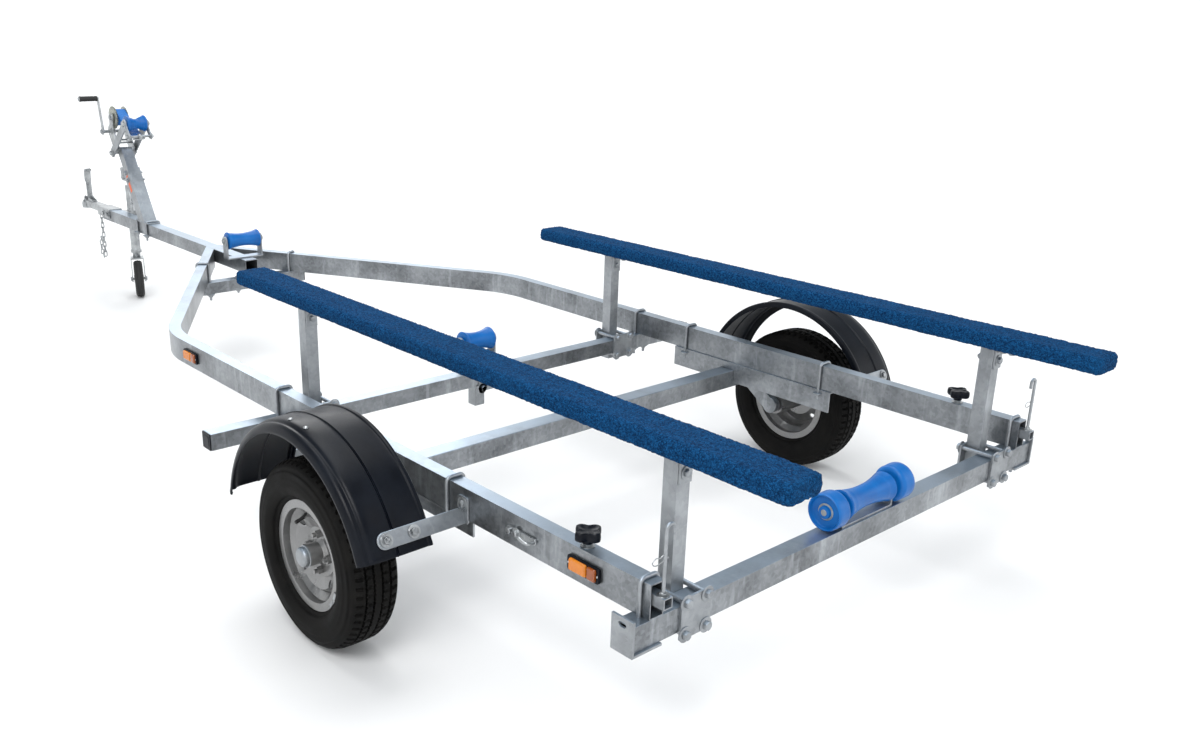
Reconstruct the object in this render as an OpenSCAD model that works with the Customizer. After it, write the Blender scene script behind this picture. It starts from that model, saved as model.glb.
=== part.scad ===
// Boat trailer: a bolted galvanised frame with two carpeted bunks, three keel
// rollers, a winch post and a jockey wheel. X runs forward, Y to the left and
// Z up. The floor is at zero height, under the middle of the trailer.

/* [Frame] */
// Distance between the centrelines of the two side rails
rail_gauge = 1490; // [1300:10:1700]
// Width of a side rail
rail_w = 40; // [36:1:50]
// Height of a side rail
rail_h = 80; // [70:1:100]
// Wall of a side rail
rail_wall = 3; // [2:0.5:4]
// Height of the rails' top face above the floor
rail_top = 470; // [440:5:520]
// From the wheel centres back to the rear end of the rails
rail_tail = 930; // [800:10:1200]
// From the wheel centres forward to the start of the bend
bend_start = 1270; // [1000:10:1500]
// Angle by which the rails turn in towards the drawbar
bend_angle = 30; // [24:1:34]
// Radius of the bend at the centreline
bend_radius = 400; // [250:10:600]

/* [Drawbar] */
// Width and height of the drawbar
drawbar_size = 60; // [50:1:70]
// Wall of the drawbar
drawbar_wall = 4; // [3:0.5:6]
// Length of the drawbar
drawbar_len = 1685; // [1500:5:2000]
// From the front cross-member's rear face back to the drawbar's open end
drawbar_overhang = 10; // [0:1:40]

/* [Cross-members] */
// Width and height of the front and bunk cross-members
cross_size = 50; // [40:1:60]
// Wall of the cross-members
cross_wall = 3; // [2:0.5:4]
// Length of the front cross-member
front_cross_len = 520; // [460:10:640]
// From the wheel centres forward to the middle of the front cross-member
front_cross_at = 2300; // [2250:10:2350]
// Length of the bunk cross-member
bunk_cross_len = 1980; // [1800:10:2200]
// From the wheel centres forward to the middle of the bunk cross-member
bunk_cross_at = 590; // [520:10:800]
// Length of the rear beam
beam_len = 1620; // [1560:10:1900]
// Height of the rear beam
beam_h = 60; // [50:1:70]
// Thickness of the end caps
cap_thickness = 4; // [2:0.5:6]

/* [Axle] */
// Width and height of the axle tube
axle_tube_size = 60; // [50:1:66]
// From the wheel centres forward to the middle of the axle tube
axle_ahead = 130; // [110:5:160]
// Height of the axle tube's middle above the floor
axle_height = 335; // [320:1:345]
// Length of the axle tube
axle_tube_len = 1600; // [1580:5:1620]
// Length of the brackets that hold the axle tube under the rails
hanger_len = 680; // [560:10:760]
// From the wheel centres forward to the front of the hanger brackets
hanger_front = 380; // [300:10:440]
// Height of the hanger brackets' upright flange
hanger_h = 70; // [60:1:90]
// Thickness of the hanger brackets
hanger_wall = 6; // [4:0.5:8]
// Thickness of a trailing arm
arm_thickness = 26; // [20:1:30]
// Radius of a stub axle
stub_r = 17; // [14:0.5:20]

/* [Wheels] */
// Distance between the middles of the two tyres
track = 1922; // [1900:2:1960]
// Outer diameter of a tyre
tyre_d = 490; // [470:2:500]
// Width of a tyre
tyre_w = 145; // [125:1:165]
// Diameter of the rim at the tyre's beads
bead_d = 254; // [240:1:260]
// Width of the rim between its flanges
rim_w = 102; // [90:1:114]
// Height of the rim's flanges above the beads
flange_h = 17; // [12:1:20]
// Thickness of the rim's steel
rim_wall = 4; // [3:0.5:6]
// Diameter of the circle on which the wheel studs stand
stud_circle_d = 100; // [90:1:112]
// Number of wheel studs
stud_count = 4; // [3:1:6]
// Radius of the wheel hub
hub_r = 36; // [32:1:42]

/* [Mudguards] */
// Width of a mudguard
guard_w = 190; // [170:1:220]
// Thickness of a mudguard
guard_wall = 4; // [3:0.5:6]
// Gap between the tyre's tread and the mudguard
guard_gap = 105; // [80:1:130]
// Angle of the mudguard's front edge above the wheel centre's level
guard_front_angle = 12; // [5:1:25]
// Angle of the mudguard's rear edge, measured over the top from the front
guard_rear_angle = 161; // [145:1:170]
// Depth of the rolled lip along the mudguard's outer edge
guard_lip = 22; // [12:1:30]

/* [Bunks] */
// Length of a bunk board
bunk_len = 2170; // [1800:10:2500]
// Width of a bunk board
bunk_w = 112; // [90:1:140]
// Thickness of a bunk board
bunk_h = 48; // [35:1:60]
// Height of the bunks' top face above the floor
bunk_top = 745; // [680:5:800]
// Distance between the centrelines of the two bunks
bunk_gauge = 1260; // [1100:10:1300]
// From the wheel centres back to the rear end of the bunks
bunk_tail = 1180; // [1000:10:1300]
// Width and depth of a bunk post
post_size = 40; // [30:1:44]
// Wall of a bunk post
post_wall = 3; // [2:0.5:4]
// How far the posts reach below the beams that carry them
post_stub = 38; // [20:1:60]

/* [Keel rollers] */
// Largest diameter of the front and middle keel rollers
keel_d = 76; // [60:1:90]
// Smallest diameter of a keel roller, at its waist
keel_waist_d = 56; // [40:1:60]
// Length of the front keel roller
front_keel_len = 150; // [120:5:220]
// Length of the middle keel roller
mid_keel_len = 120; // [100:5:160]
// Length of the rear keel roller
rear_keel_len = 190; // [160:5:260]
// Diameter of the end cups beside the rear keel roller
cup_d = 93; // [80:1:110]
// Width of one end cup
cup_w = 50; // [40:1:80]
// Radius of a roller's spindle
spindle_r = 8; // [6:0.5:10]
// Height of the keel post's top above the floor
keel_post_top = 425; // [400:5:460]
// Length of the keel post
keel_post_len = 175; // [140:5:220]

/* [Winch] */
// Lean of the winch post, forward from upright
post_lean = 32; // [15:1:38]
// Length of the winch post's outer tube
winch_post_len = 290; // [240:5:360]
// Length of the inner tube that stands out of the outer one
winch_stem_len = 110; // [80:5:160]
// Width of the winch post's outer tube
winch_post_w = 66; // [50:1:72]
// From the drawbar's front end back to the foot of the winch post
winch_foot_back = 550; // [460:5:620]
// Number of teeth on the winch drum's gear
gear_teeth = 36; // [30:1:42]
// Number of teeth on the crank's pinion
pinion_teeth = 12; // [10:1:14]
// Gear module, the pitch diameter divided by the number of teeth
gear_module = 3; // [2.5:0.25:3.25]
// Width between the two plates of the winch frame
winch_w = 74; // [60:1:90]
// Radius to which the strap is wound on the drum
strap_wound_r = 42; // [34:1:46]
// Width of the strap
strap_w = 50; // [40:1:54]
// Thickness of the strap
strap_thickness = 2.5; // [2:0.5:4]
// Length of the crank's arm
crank_len = 165; // [120:5:200]
// Length of the crank's grip
grip_len = 90; // [70:5:110]
// Largest diameter of the bow roller
bow_roller_d = 76; // [60:1:90]
// Length of the bow roller
bow_roller_len = 96; // [80:1:120]

/* [Coupling] */
// Diameter of the ball that the coupling takes
ball_d = 50; // [45:0.5:60]
// Length of the coupling from the drawbar's end to the ball's middle
coupling_reach = 300; // [240:5:340]
// Thickness of the coupling's steel
coupling_wall = 5; // [4:0.5:7]
// Height of the coupling lever
lever_h = 160; // [90:5:180]

/* [Jockey wheel] */
// Gap between the coupling's channel and the jockey wheel's clamp
jockey_gap = 6; // [2:1:60]
// Radius of the jockey wheel's outer tube
jockey_tube_r = 24; // [20:0.5:30]
// Length of the jockey wheel's outer tube
jockey_tube_len = 365; // [320:5:420]
// Diameter of the jockey wheel
jockey_wheel_d = 200; // [180:5:220]
// Width of the jockey wheel
jockey_wheel_w = 50; // [40:1:60]
// Trail of the jockey wheel behind its swivel
jockey_trail = 50; // [20:1:60]
// Angle by which the parked jockey wheel is turned on its swivel
jockey_turn = -20; // [-90:5:90]

/* [Light arms] */
// Width and height of a light arm
arm_size = 25; // [20:1:30]
// Length of a light arm
light_arm_len = 700; // [500:10:900]
// How far a pushed-in light arm stands out of the rail
light_arm_out = 30; // [20:1:60]
// From the rear end of the rail forward to the light arm's knob
knob_ahead = 205; // [120:5:300]

/* [Chain] */
// Thickness of the wire of a chain link
link_wire = 6; // [4:0.5:7]
// Inner length of a chain link
link_pitch = 27; // [24:1:34]
// Number of links in the hanging chain
link_count = 9; // [4:1:10]

/* [Hidden] */

$fn = 48;
galvanised = "gainsboro";
zinc = "silver";
carpet_blue = "midnightblue";
roller_blue = "royalblue";
black_plastic = "dimgray";
rubber_black = "darkslategray";

// Clearances
running = 0.05;     // between a spindle and its bore
seat_gap = 0.3;     // between a moving piece and what it rests against
cut = 1;            // how far a cutting solid runs past the face it cuts
plate = 6;          // common thickness of brackets and clamp plates
bolt_r = 6;         // radius of the common fixing bolts

// Heights of the frame
rail_base = rail_top - rail_h;
drawbar_base = rail_top - drawbar_size;
rail_y = rail_gauge / 2;
cross_z = rail_base - cross_size / 2;
beam_z = rail_base - beam_h / 2;
beam_depth = cross_size;
beam_x = -rail_tail + beam_depth / 2;

// The bend of the left rail: centre of the arc and where the straight leg begins
bend_cy = rail_y - bend_radius;
leg_x = bend_start + bend_radius * sin(bend_angle);
leg_y = bend_cy + bend_radius * cos(bend_angle);
bend_steps = 16;    // flats along the bend

// The drawbar
drawbar_tail_x = front_cross_at - cross_size / 2 - drawbar_overhang;
drawbar_nose_x = drawbar_tail_x + drawbar_len;
ball_x = drawbar_nose_x + coupling_reach;
head_r = ball_d / 2 + coupling_wall + 2;

// The wheels
wheel_y = track / 2;
wheel_z = tyre_d / 2;
hub_face = 14;      // from the tyre's middle out to the wheel's mounting face
arm_y = axle_tube_len / 2 + 4;      // inner side of a trailing arm
stub_len = wheel_y + hub_face + 30 - arm_y - arm_thickness;

// The whole trailer is moved back so that the middle of its length is at zero
front_x = ball_x + head_r;
rear_x = -max(bunk_tail, rail_tail + light_arm_out);
middle_x = (front_x + rear_x) / 2;

module tube(size_y, size_z, wall, length) {
    // a box tube along X, from zero
    rotate([90, 0, 90]) linear_extrude(height = length) difference() {
        square([size_y, size_z], center = true);
        square([size_y - 2 * wall, size_z - 2 * wall], center = true);
    }
}

module cross_tube(size_x, size_z, wall, length) {
    // a box tube along Y, centred
    rotate([90, 0, 0]) translate([0, 0, -length / 2]) linear_extrude(height = length) difference() {
        square([size_x, size_z], center = true);
        square([size_x - 2 * wall, size_z - 2 * wall], center = true);
    }
}

module upright_tube(size, wall, length) {
    linear_extrude(height = length) difference() {
        square([size, size], center = true);
        square([size - 2 * wall, size - 2 * wall], center = true);
    }
}

module both_sides() {
    children();
    mirror([0, 1, 0]) children();
}

module lateral(length) {
    // turns a solid of revolution made along Z so that it lies along Y, centred
    rotate([-90, 0, 0]) translate([0, 0, -length / 2]) children();
}

module lateral_rod(r, length) {
    lateral(length) cylinder(r = r, h = length);
}

// ---- Frame ----

function on_leg(offset, end_y) = let (t = (leg_y + offset * cos(bend_angle) - end_y) / sin(bend_angle))
    [leg_x + offset * sin(bend_angle) + t * cos(bend_angle), end_y];

function on_bend(offset, angle) = [bend_start + (bend_radius + offset) * sin(angle),
    bend_cy + (bend_radius + offset) * cos(angle)];

module rail_plan(inset, past) {
    // the rail from above: straight, round the bend, then along the leg to the drawbar's side
    out = rail_w / 2 - inset;
    bend = [for (i = [0 : bend_steps]) bend_angle * i / bend_steps];
    end_y = drawbar_size / 2 - past;
    polygon(concat(
        [[-rail_tail - past, rail_y + out]],
        [for (a = bend) on_bend(out, a)],
        [on_leg(out, end_y), on_leg(-out, end_y)],
        [for (a = bend) on_bend(-out, bend_angle - a)],
        [[-rail_tail - past, rail_y - out]]));
}

module left_side_rail() {
    difference() {
        translate([0, 0, rail_base]) linear_extrude(height = rail_h) rail_plan(0, 0);
        translate([0, 0, rail_base + rail_wall]) linear_extrude(height = rail_h - 2 * rail_wall)
            rail_plan(rail_wall, cut);
        translate([knob_x, rail_y, rail_top - 2 * rail_wall]) cylinder(r = stud_r + running, h = 3 * rail_wall);
    }
}

module side_rails() {
    color(galvanised) both_sides() left_side_rail();
}

module drawbar() {
    color(galvanised) translate([drawbar_tail_x, 0, rail_top - drawbar_size / 2])
        tube(drawbar_size, drawbar_size, drawbar_wall, drawbar_len);
}

module front_crossmember() {
    packer_h = drawbar_base - rail_base;
    color(galvanised) {
        translate([front_cross_at, 0, cross_z])
            cross_tube(cross_size, cross_size, cross_wall, front_cross_len);
        translate([front_cross_at - cross_size / 2, -drawbar_size / 2, rail_base])
            cube([cross_size, drawbar_size, packer_h]);
    }
}

module bunk_crossmember() {
    color(galvanised) translate([bunk_cross_at, 0, cross_z])
        cross_tube(cross_size, cross_size, cross_wall, bunk_cross_len);
}

module rear_beam() {
    color(galvanised) translate([beam_x, 0, beam_z])
        cross_tube(beam_depth, beam_h, cross_wall, beam_len);
}

module end_caps() {
    color(black_plastic) both_sides() {
        translate([bunk_cross_at, bunk_cross_len / 2, cross_z]) rotate([-90, 0, 0]) end_cap();
        translate([front_cross_at, front_cross_len / 2, cross_z]) rotate([-90, 0, 0]) end_cap();
    }
}

module end_cap() {
    linear_extrude(height = cap_thickness) square(cross_size, center = true);
}

// ---- Axle ----

module axle_tube() {
    color(galvanised) translate([axle_ahead, 0, axle_height])
        cross_tube(axle_tube_size, axle_tube_size, hanger_wall, axle_tube_len);
}

module left_hanger() {
    flange_w = rail_w + hanger_wall;
    difference() {
        translate([hanger_front - hanger_len, rail_y + rail_w / 2 - flange_w, 0]) union() {
            translate([0, 0, rail_base - hanger_wall]) cube([hanger_len, flange_w, hanger_wall]);
            translate([0, 0, rail_base - hanger_h]) cube([hanger_len, hanger_wall, hanger_h]);
        }
        translate([axle_ahead, 0, axle_height]) cube([axle_tube_size, axle_tube_len, axle_tube_size],
            center = true);
    }
}

module axle_hangers() {
    color(galvanised) both_sides() left_hanger();
}

module left_trailing_arm() {
    // a flat forged arm from the axle tube's end down to the stub axle
    drop = axle_height - wheel_z;
    pivot_r = 34;
    end_r = 28;
    translate([0, arm_y, wheel_z]) rotate([90, 0, 0]) mirror([0, 0, 1]) linear_extrude(height = arm_thickness)
        union() {
            circle(r = end_r);
            translate([axle_ahead, drop]) circle(r = pivot_r);
            rotate([0, 0, atan(drop / axle_ahead)]) translate([0, -end_r + 3])
                square([norm([drop, axle_ahead]), 2 * end_r - 6]);
        }
    translate([axle_ahead, axle_tube_len / 2, axle_height]) rotate([-90, 0, 0])
        cylinder(r = pivot_r, h = arm_y - axle_tube_len / 2);
    translate([0, arm_y + arm_thickness, wheel_z]) rotate([-90, 0, 0]) cylinder(r = stub_r, h = stub_len);
}

module trailing_arms() {
    color(galvanised) both_sides() left_trailing_arm();
}

// ---- Wheels ----

module wheel_tyre() {
    // the section of a radial carcass, open towards the rim
    bead_r = bead_d / 2;
    crown_r = tyre_d / 2;
    half_w = tyre_w / 2;
    half_rim = rim_w / 2;
    bead_wall = 12;
    wall = 9;
    crown = 16;
    shoulder = 20;
    rotate([-90, 0, 0]) rotate_extrude($fn = 120) polygon([
        [bead_r, -half_rim + rim_wall], [bead_r, -half_rim + rim_wall + bead_wall],
        [bead_r + bead_wall, -half_rim + rim_wall + bead_wall],
        [bead_r + 50, -half_w + wall], [crown_r - crown - 8, -half_w + wall + shoulder / 2],
        [crown_r - crown, -half_w + shoulder + wall], [crown_r - crown, half_w - shoulder - wall],
        [crown_r - crown - 8, half_w - wall - shoulder / 2], [bead_r + 50, half_w - wall],
        [bead_r + bead_wall, half_rim - rim_wall - bead_wall],
        [bead_r, half_rim - rim_wall - bead_wall], [bead_r, half_rim - rim_wall],
        [bead_r + flange_h, half_rim - rim_wall], [bead_r + flange_h + 6, half_rim + 4],
        [bead_r + 50, half_w], [crown_r - 26, half_w - 4],
        [crown_r - 8, half_w - shoulder + 6], [crown_r - 2, half_w - shoulder - 6],
        [crown_r, 0],
        [crown_r - 2, -half_w + shoulder + 6], [crown_r - 8, -half_w + shoulder - 6],
        [crown_r - 26, -half_w + 4], [bead_r + 50, -half_w],
        [bead_r + flange_h + 6, -half_rim - 4], [bead_r + flange_h, -half_rim + rim_wall]]);
}

module wheel_rim() {
    // the outer side of the wheel is towards +Y
    bead_r = bead_d / 2;
    flange_r = bead_r + flange_h;
    half_rim = rim_w / 2;
    well_r = bead_r - 18;
    well_half = 16;
    hub_back = arm_y + arm_thickness - wheel_y + 5;
    hub_front = hub_face + 42;
    bore_r = stub_r + running;
    rotate([-90, 0, 0]) {
        rotate_extrude($fn = 120) polygon([
            [flange_r, half_rim], [flange_r, half_rim - rim_wall],
            [bead_r, half_rim - rim_wall], [bead_r, well_half + 14],
            [well_r, well_half], [well_r, -well_half], [bead_r, -well_half - 14],
            [bead_r, -half_rim + rim_wall], [flange_r, -half_rim + rim_wall],
            [flange_r, -half_rim], [bead_r - rim_wall, -half_rim],
            [bead_r - rim_wall, -well_half - 16], [well_r - rim_wall, -well_half - 2],
            [well_r - rim_wall, well_half + 2], [bead_r - rim_wall, well_half + 16],
            [bead_r - rim_wall, half_rim]]);
        difference() {
            rotate_extrude($fn = 96) polygon([
                [bore_r, hub_back], [hub_r, hub_back], [hub_r, hub_face - rim_wall],
                [stud_circle_d / 2 + 16, hub_face - rim_wall], [well_r - 14, hub_face + 12],
                [well_r - rim_wall, hub_face + 4 - well_half / 2],
                [well_r - rim_wall, hub_face + 10 - well_half / 2],
                [well_r - 16, hub_face + 17], [stud_circle_d / 2 + 14, hub_face],
                [hub_r + 2, hub_face], [hub_r - 8, hub_face + 8], [hub_r - 8, hub_front],
                [bore_r, hub_front]]);
            for (i = [0 : stud_count - 1]) rotate([0, 0, (i + 0.5) * 360 / stud_count])
                translate([well_r - 22, 0, hub_face - 2 * rim_wall]) cylinder(r = 9, h = 40);
        }
        for (i = [0 : stud_count - 1]) rotate([0, 0, i * 360 / stud_count])
            translate([stud_circle_d / 2, 0, hub_face - rim_wall]) {
                cylinder(r = bolt_r, h = rim_wall + 22);
                cylinder(r = 11, h = rim_wall + 14, $fn = 6);
            }
    }
}

module left_tyre() {
    color(rubber_black) translate([0, wheel_y, wheel_z]) wheel_tyre();
}

module right_tyre() {
    color(rubber_black) mirror([0, 1, 0]) translate([0, wheel_y, wheel_z]) wheel_tyre();
}

module left_rim() {
    color(zinc) translate([0, wheel_y, wheel_z]) wheel_rim();
}

module right_rim() {
    color(zinc) mirror([0, 1, 0]) translate([0, wheel_y, wheel_z]) wheel_rim();
}

// ---- Mudguards ----

guard_r = tyre_d / 2 + guard_gap;
guard_y = wheel_y - tyre_w / 2 - 22;
guard_sweep = guard_rear_angle - guard_front_angle;
strap_h = 40;               // width of a mudguard strap
strap_wall = 5;             // its thickness

module left_mudguard() {
    translate([0, guard_y, wheel_z]) rotate([90, 0, 0]) mirror([0, 0, 1])
        rotate([0, 0, guard_front_angle]) rotate_extrude(angle = guard_sweep, $fn = 96)
            translate([guard_r, 0]) square([guard_wall, guard_w]);
}

module left_guard_lip() {
    // the valance that hangs from the skin's outer edge
    translate([0, guard_y, wheel_z]) rotate([90, 0, 0]) mirror([0, 0, 1])
        rotate([0, 0, guard_front_angle]) rotate_extrude(angle = guard_sweep, $fn = 96)
            translate([guard_r - guard_lip, guard_w - guard_wall]) square([guard_lip, guard_wall]);
}

module mudguards() {
    color(black_plastic) both_sides() left_mudguard();
}

module mudguard_lips() {
    color(black_plastic) both_sides() left_guard_lip();
}

module left_guard_strap(at_angle) {
    // a flat bar that lies across the outside of the mudguard and is bent up against the rail
    bar_r = guard_r + guard_wall + seat_gap;
    foot_y = rail_y + rail_w / 2;
    reach = guard_y + guard_w * 0.75 - foot_y;
    rail_mid = rail_top - rail_h / 2;
    foot_x = bar_r * cos(at_angle);
    foot_z = wheel_z + bar_r * sin(at_angle);
    low = min(foot_z, rail_mid) - strap_h / 2;
    translate([foot_x - strap_h / 2, foot_y, low]) cube([strap_h, strap_wall, abs(foot_z - rail_mid) + strap_h]);
    translate([foot_x, foot_y, foot_z]) rotate([0, 90 - at_angle, 0])
        translate([-strap_h / 2, 0, 0]) cube([strap_h, reach, strap_wall]);
}

module mudguard_straps() {
    color(zinc) both_sides() {
        left_guard_strap(guard_front_angle + 8);
        left_guard_strap(guard_rear_angle - 7);
    }
}

// ---- Bunks ----

bunk_y = bunk_gauge / 2;
bunk_base = bunk_top - bunk_h;
post_top = bunk_base - seat_gap;
rear_post_x = beam_x + beam_depth / 2 + post_size / 2;
front_post_x = bunk_cross_at + cross_size / 2 + post_size / 2;
rear_post_foot = rail_base - beam_h - post_stub;
front_post_foot = rail_base - cross_size - post_stub;

module bunk_posts() {
    color(galvanised) {
        both_sides() {
            translate([rear_post_x, bunk_y, rear_post_foot])
                upright_tube(post_size, post_wall, post_top - rear_post_foot);
            translate([front_post_x, bunk_y, front_post_foot])
                upright_tube(post_size, post_wall, post_top - front_post_foot);
        }
        translate([front_post_x, 0, keel_post_top - keel_post_len])
            upright_tube(post_size, post_wall, keel_post_len);
    }
}

module post_clamp(beam_mid_x, height, mid_z) {
    // two plates, one behind the beam and one ahead of the post, drawn together by four bolts
    clamp_w = post_size + 4 * bolt_r + 26;
    clamp_h = height + 4 * bolt_r + 12;
    back_x = beam_mid_x - beam_depth / 2 - plate;
    front_x = beam_mid_x + beam_depth / 2 + post_size;
    for (x = [back_x, front_x]) translate([x, -clamp_w / 2, mid_z - clamp_h / 2])
        cube([plate, clamp_w, clamp_h]);
    for (y = [-1, 1], z = [-1, 1])
        translate([back_x - 10, y * (post_size / 2 + bolt_r + 6), mid_z + z * (height / 2 + bolt_r + 1)])
            rotate([0, 90, 0]) cylinder(r = bolt_r, h = front_x - back_x + plate + 20);
}

module post_clamps() {
    color(zinc) {
        both_sides() {
            translate([0, bunk_y, 0]) post_clamp(beam_x, beam_h, beam_z);
            translate([0, bunk_y, 0]) post_clamp(bunk_cross_at, cross_size, cross_z);
        }
        post_clamp(bunk_cross_at, cross_size, cross_z);
    }
}

module bunk_brackets() {
    // angles between the posts and the undersides of the bunks
    leg = 60;
    width = 36;
    color(zinc) both_sides() for (x = [rear_post_x, front_post_x])
        translate([x - post_size / 2 - plate, bunk_y - width / 2, bunk_base - seat_gap]) {
            translate([0, 0, -leg]) cube([plate, width, leg]);
            translate([plate - leg, 0, -plate]) cube([leg, width, plate]);
        }
}

module bunk_boards() {
    color(carpet_blue) both_sides()
        translate([-bunk_tail, bunk_y - bunk_w / 2, bunk_base]) cube([bunk_len, bunk_w, bunk_h]);
}

// ---- Keel rollers ----

front_keel_x = drawbar_tail_x + 75;
front_keel_z = rail_top + keel_d / 2 + 42;
mid_keel_x = front_post_x;
mid_keel_z = keel_post_top + keel_d / 2 + 14;
rear_keel_x = beam_x;
rear_keel_z = rail_base + cup_d / 2 + 4;

module keel_roller(length) {
    // waisted like an hourglass, with a bore for its spindle
    waist = keel_waist_d / 2;
    rim = keel_d / 2;
    steps = 12;
    lateral(length) rotate_extrude($fn = 72) polygon(concat(
        [[spindle_r + running, 0]],
        [for (i = [0 : steps]) let (t = 2 * i / steps - 1)
            [waist + (rim - waist) * t * t, length * i / steps]],
        [[spindle_r + running, length]]));
}

module end_cup() {
    // a cup beside the roller, rounded on its inner side and hollow on its outer one
    r = cup_d / 2;
    rim = 7;
    recess = 10;
    rotate_extrude($fn = 72) polygon(concat(
        [[spindle_r + running, 0]],
        [for (a = [90 : -15 : 0]) [r - 14 + 14 * cos(a), 14 - 14 * sin(a)]],
        [[r, cup_w], [r - rim, cup_w], [r - rim, cup_w - recess], [spindle_r + running, cup_w - recess]]));
}

module front_keel_roller() {
    color(roller_blue) translate([front_keel_x, 0, front_keel_z]) keel_roller(front_keel_len);
}

module middle_keel_roller() {
    color(roller_blue) translate([mid_keel_x, 0, mid_keel_z]) keel_roller(mid_keel_len);
}

module rear_keel_roller() {
    color(roller_blue) translate([rear_keel_x, 0, rear_keel_z]) {
        keel_roller(rear_keel_len);
        both_sides() translate([0, rear_keel_len / 2 + cup_gap, 0]) rotate([-90, 0, 0]) end_cup();
    }
}

cup_gap = plate + 8;

module roller_bracket(length, axis_z, foot_z, foot_x, ear_gap) {
    // a base plate with two ears that carry the spindle
    ear_w = 40;
    ear_y = length / 2 + ear_gap;
    translate([-foot_x / 2, -ear_y - plate, foot_z]) cube([foot_x, 2 * ear_y + 2 * plate, plate]);
    both_sides() {
        translate([-ear_w / 2, ear_y, foot_z]) cube([ear_w, plate, axis_z - foot_z]);
        translate([0, ear_y, axis_z]) rotate([-90, 0, 0]) cylinder(r = ear_w / 2, h = plate);
    }
}

module keel_roller_brackets() {
    spindle_out = 10;
    color(zinc) {
        translate([front_keel_x, 0, 0]) {
            roller_bracket(front_keel_len, front_keel_z, rail_top, 50, 3);
            translate([0, 0, front_keel_z]) lateral_rod(spindle_r, front_keel_len + 2 * plate + 6 + 2 * spindle_out);
        }
        translate([mid_keel_x, 0, 0]) {
            roller_bracket(mid_keel_len, mid_keel_z, keel_post_top, 40, 3);
            translate([0, 0, mid_keel_z]) lateral_rod(spindle_r, mid_keel_len + 2 * plate + 6 + 2 * spindle_out);
        }
        translate([rear_keel_x, 0, 0]) {
            roller_bracket(rear_keel_len, rear_keel_z, rail_base, 40, (cup_gap - plate) / 2);
            translate([0, 0, rear_keel_z])
                lateral_rod(spindle_r, rear_keel_len + 2 * cup_gap + 2 * cup_w);
        }
    }
}

// ---- Coupling ----

ball_z = drawbar_base + 40;
channel_len = 110;      // of the coupling's channel along the drawbar
ball_play = 0.5;        // around the ball
socket_depth = 20;      // of the straight skirt below the ball's middle
neck_base = ball_z - 12;
neck_h = 36;
chain_x = ball_x - 190;
chain_eye_r = link_wire + 2;
chain_eye_z = neck_base - chain_eye_r - 2;
chain_eye_wall = 5;

module coupling() {
    // a pressed-steel head over the ball, with a channel bolted to the drawbar's end
    channel_w = drawbar_size + 2 * coupling_wall;
    color(zinc) {
        // the channel wraps the drawbar from above
        translate([drawbar_nose_x - channel_len, 0, 0]) difference() {
            translate([0, -channel_w / 2, rail_top - 44]) cube([channel_len + 40, channel_w, 44 + coupling_wall]);
            translate([-cut, -drawbar_size / 2, rail_top - 44 - cut])
                cube([channel_len + 40 + 2 * cut, drawbar_size, 44 + cut]);
        }
        difference() {
            union() {
                translate([drawbar_nose_x + 30, -20, neck_base]) cube([coupling_reach - 30, 40, neck_h]);
                translate([chain_x, 0, chain_eye_z]) lateral_rod(chain_eye_r + 5, chain_eye_wall);
                translate([ball_x, 0, ball_z]) sphere(r = head_r);
                translate([ball_x, 0, ball_z - socket_depth]) cylinder(r = head_r, h = socket_depth);
                translate([drawbar_nose_x, -channel_w / 2, rail_top - 44]) cube([60, channel_w, 44]);
            }
            translate([ball_x, 0, ball_z]) sphere(r = ball_d / 2 + ball_play);
            translate([ball_x, 0, ball_z - 2 * socket_depth])
                cylinder(r = ball_d / 2 + ball_play, h = 2 * socket_depth);
            translate([drawbar_nose_x - cut, -drawbar_size / 2 + 2, rail_top - 44 - cut])
                cube([50, drawbar_size - 4, 38]);
            translate([chain_x, 0, chain_eye_z]) lateral_rod(chain_eye_r, 20);
        }
    }
}

module coupling_lever() {
    lever_x = ball_x - 46;
    lever_w = 34;
    base_z = neck_base + neck_h;
    color(zinc) {
        translate([lever_x - 60, -lever_w / 2, base_z]) cube([82, lever_w, 22]);
        translate([lever_x, -lever_w / 2, base_z]) cube([20, lever_w, lever_h]);
        translate([lever_x + 10, 0, base_z + lever_h]) lateral_rod(14, lever_w);
    }
}

// ---- Jockey wheel ----

jockey_clamp_w = 2 * jockey_tube_r + 24;
jockey_x = drawbar_nose_x - channel_len - jockey_gap - jockey_clamp_w / 2;
jockey_y = -(drawbar_size / 2 + plate + jockey_tube_r + 14);
jockey_axle_z = jockey_wheel_d / 2;
fork_top = jockey_wheel_d + 12;
jockey_tube_foot = fork_top + 26;
collar_h = 14;
stem_r = jockey_tube_r - 4;

module jockey_clamp() {
    block_h = 56;
    mid_z = rail_top - drawbar_size / 2;
    block_w = jockey_clamp_w;
    color(zinc) {
        difference() {
            translate([jockey_x - block_w / 2, jockey_y - 14, mid_z - block_h / 2])
                cube([block_w, -drawbar_size / 2 - jockey_y + 14, block_h]);
            translate([jockey_x, jockey_y, mid_z - block_h / 2 - cut])
                cylinder(r = jockey_tube_r + running, h = block_h + 2 * cut);
        }
        translate([jockey_x - block_w / 2 - 12, jockey_y - jockey_tube_r - 14, mid_z - block_h / 2 + 10])
            cube([14, jockey_tube_r, 30]);
    }
}

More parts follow.
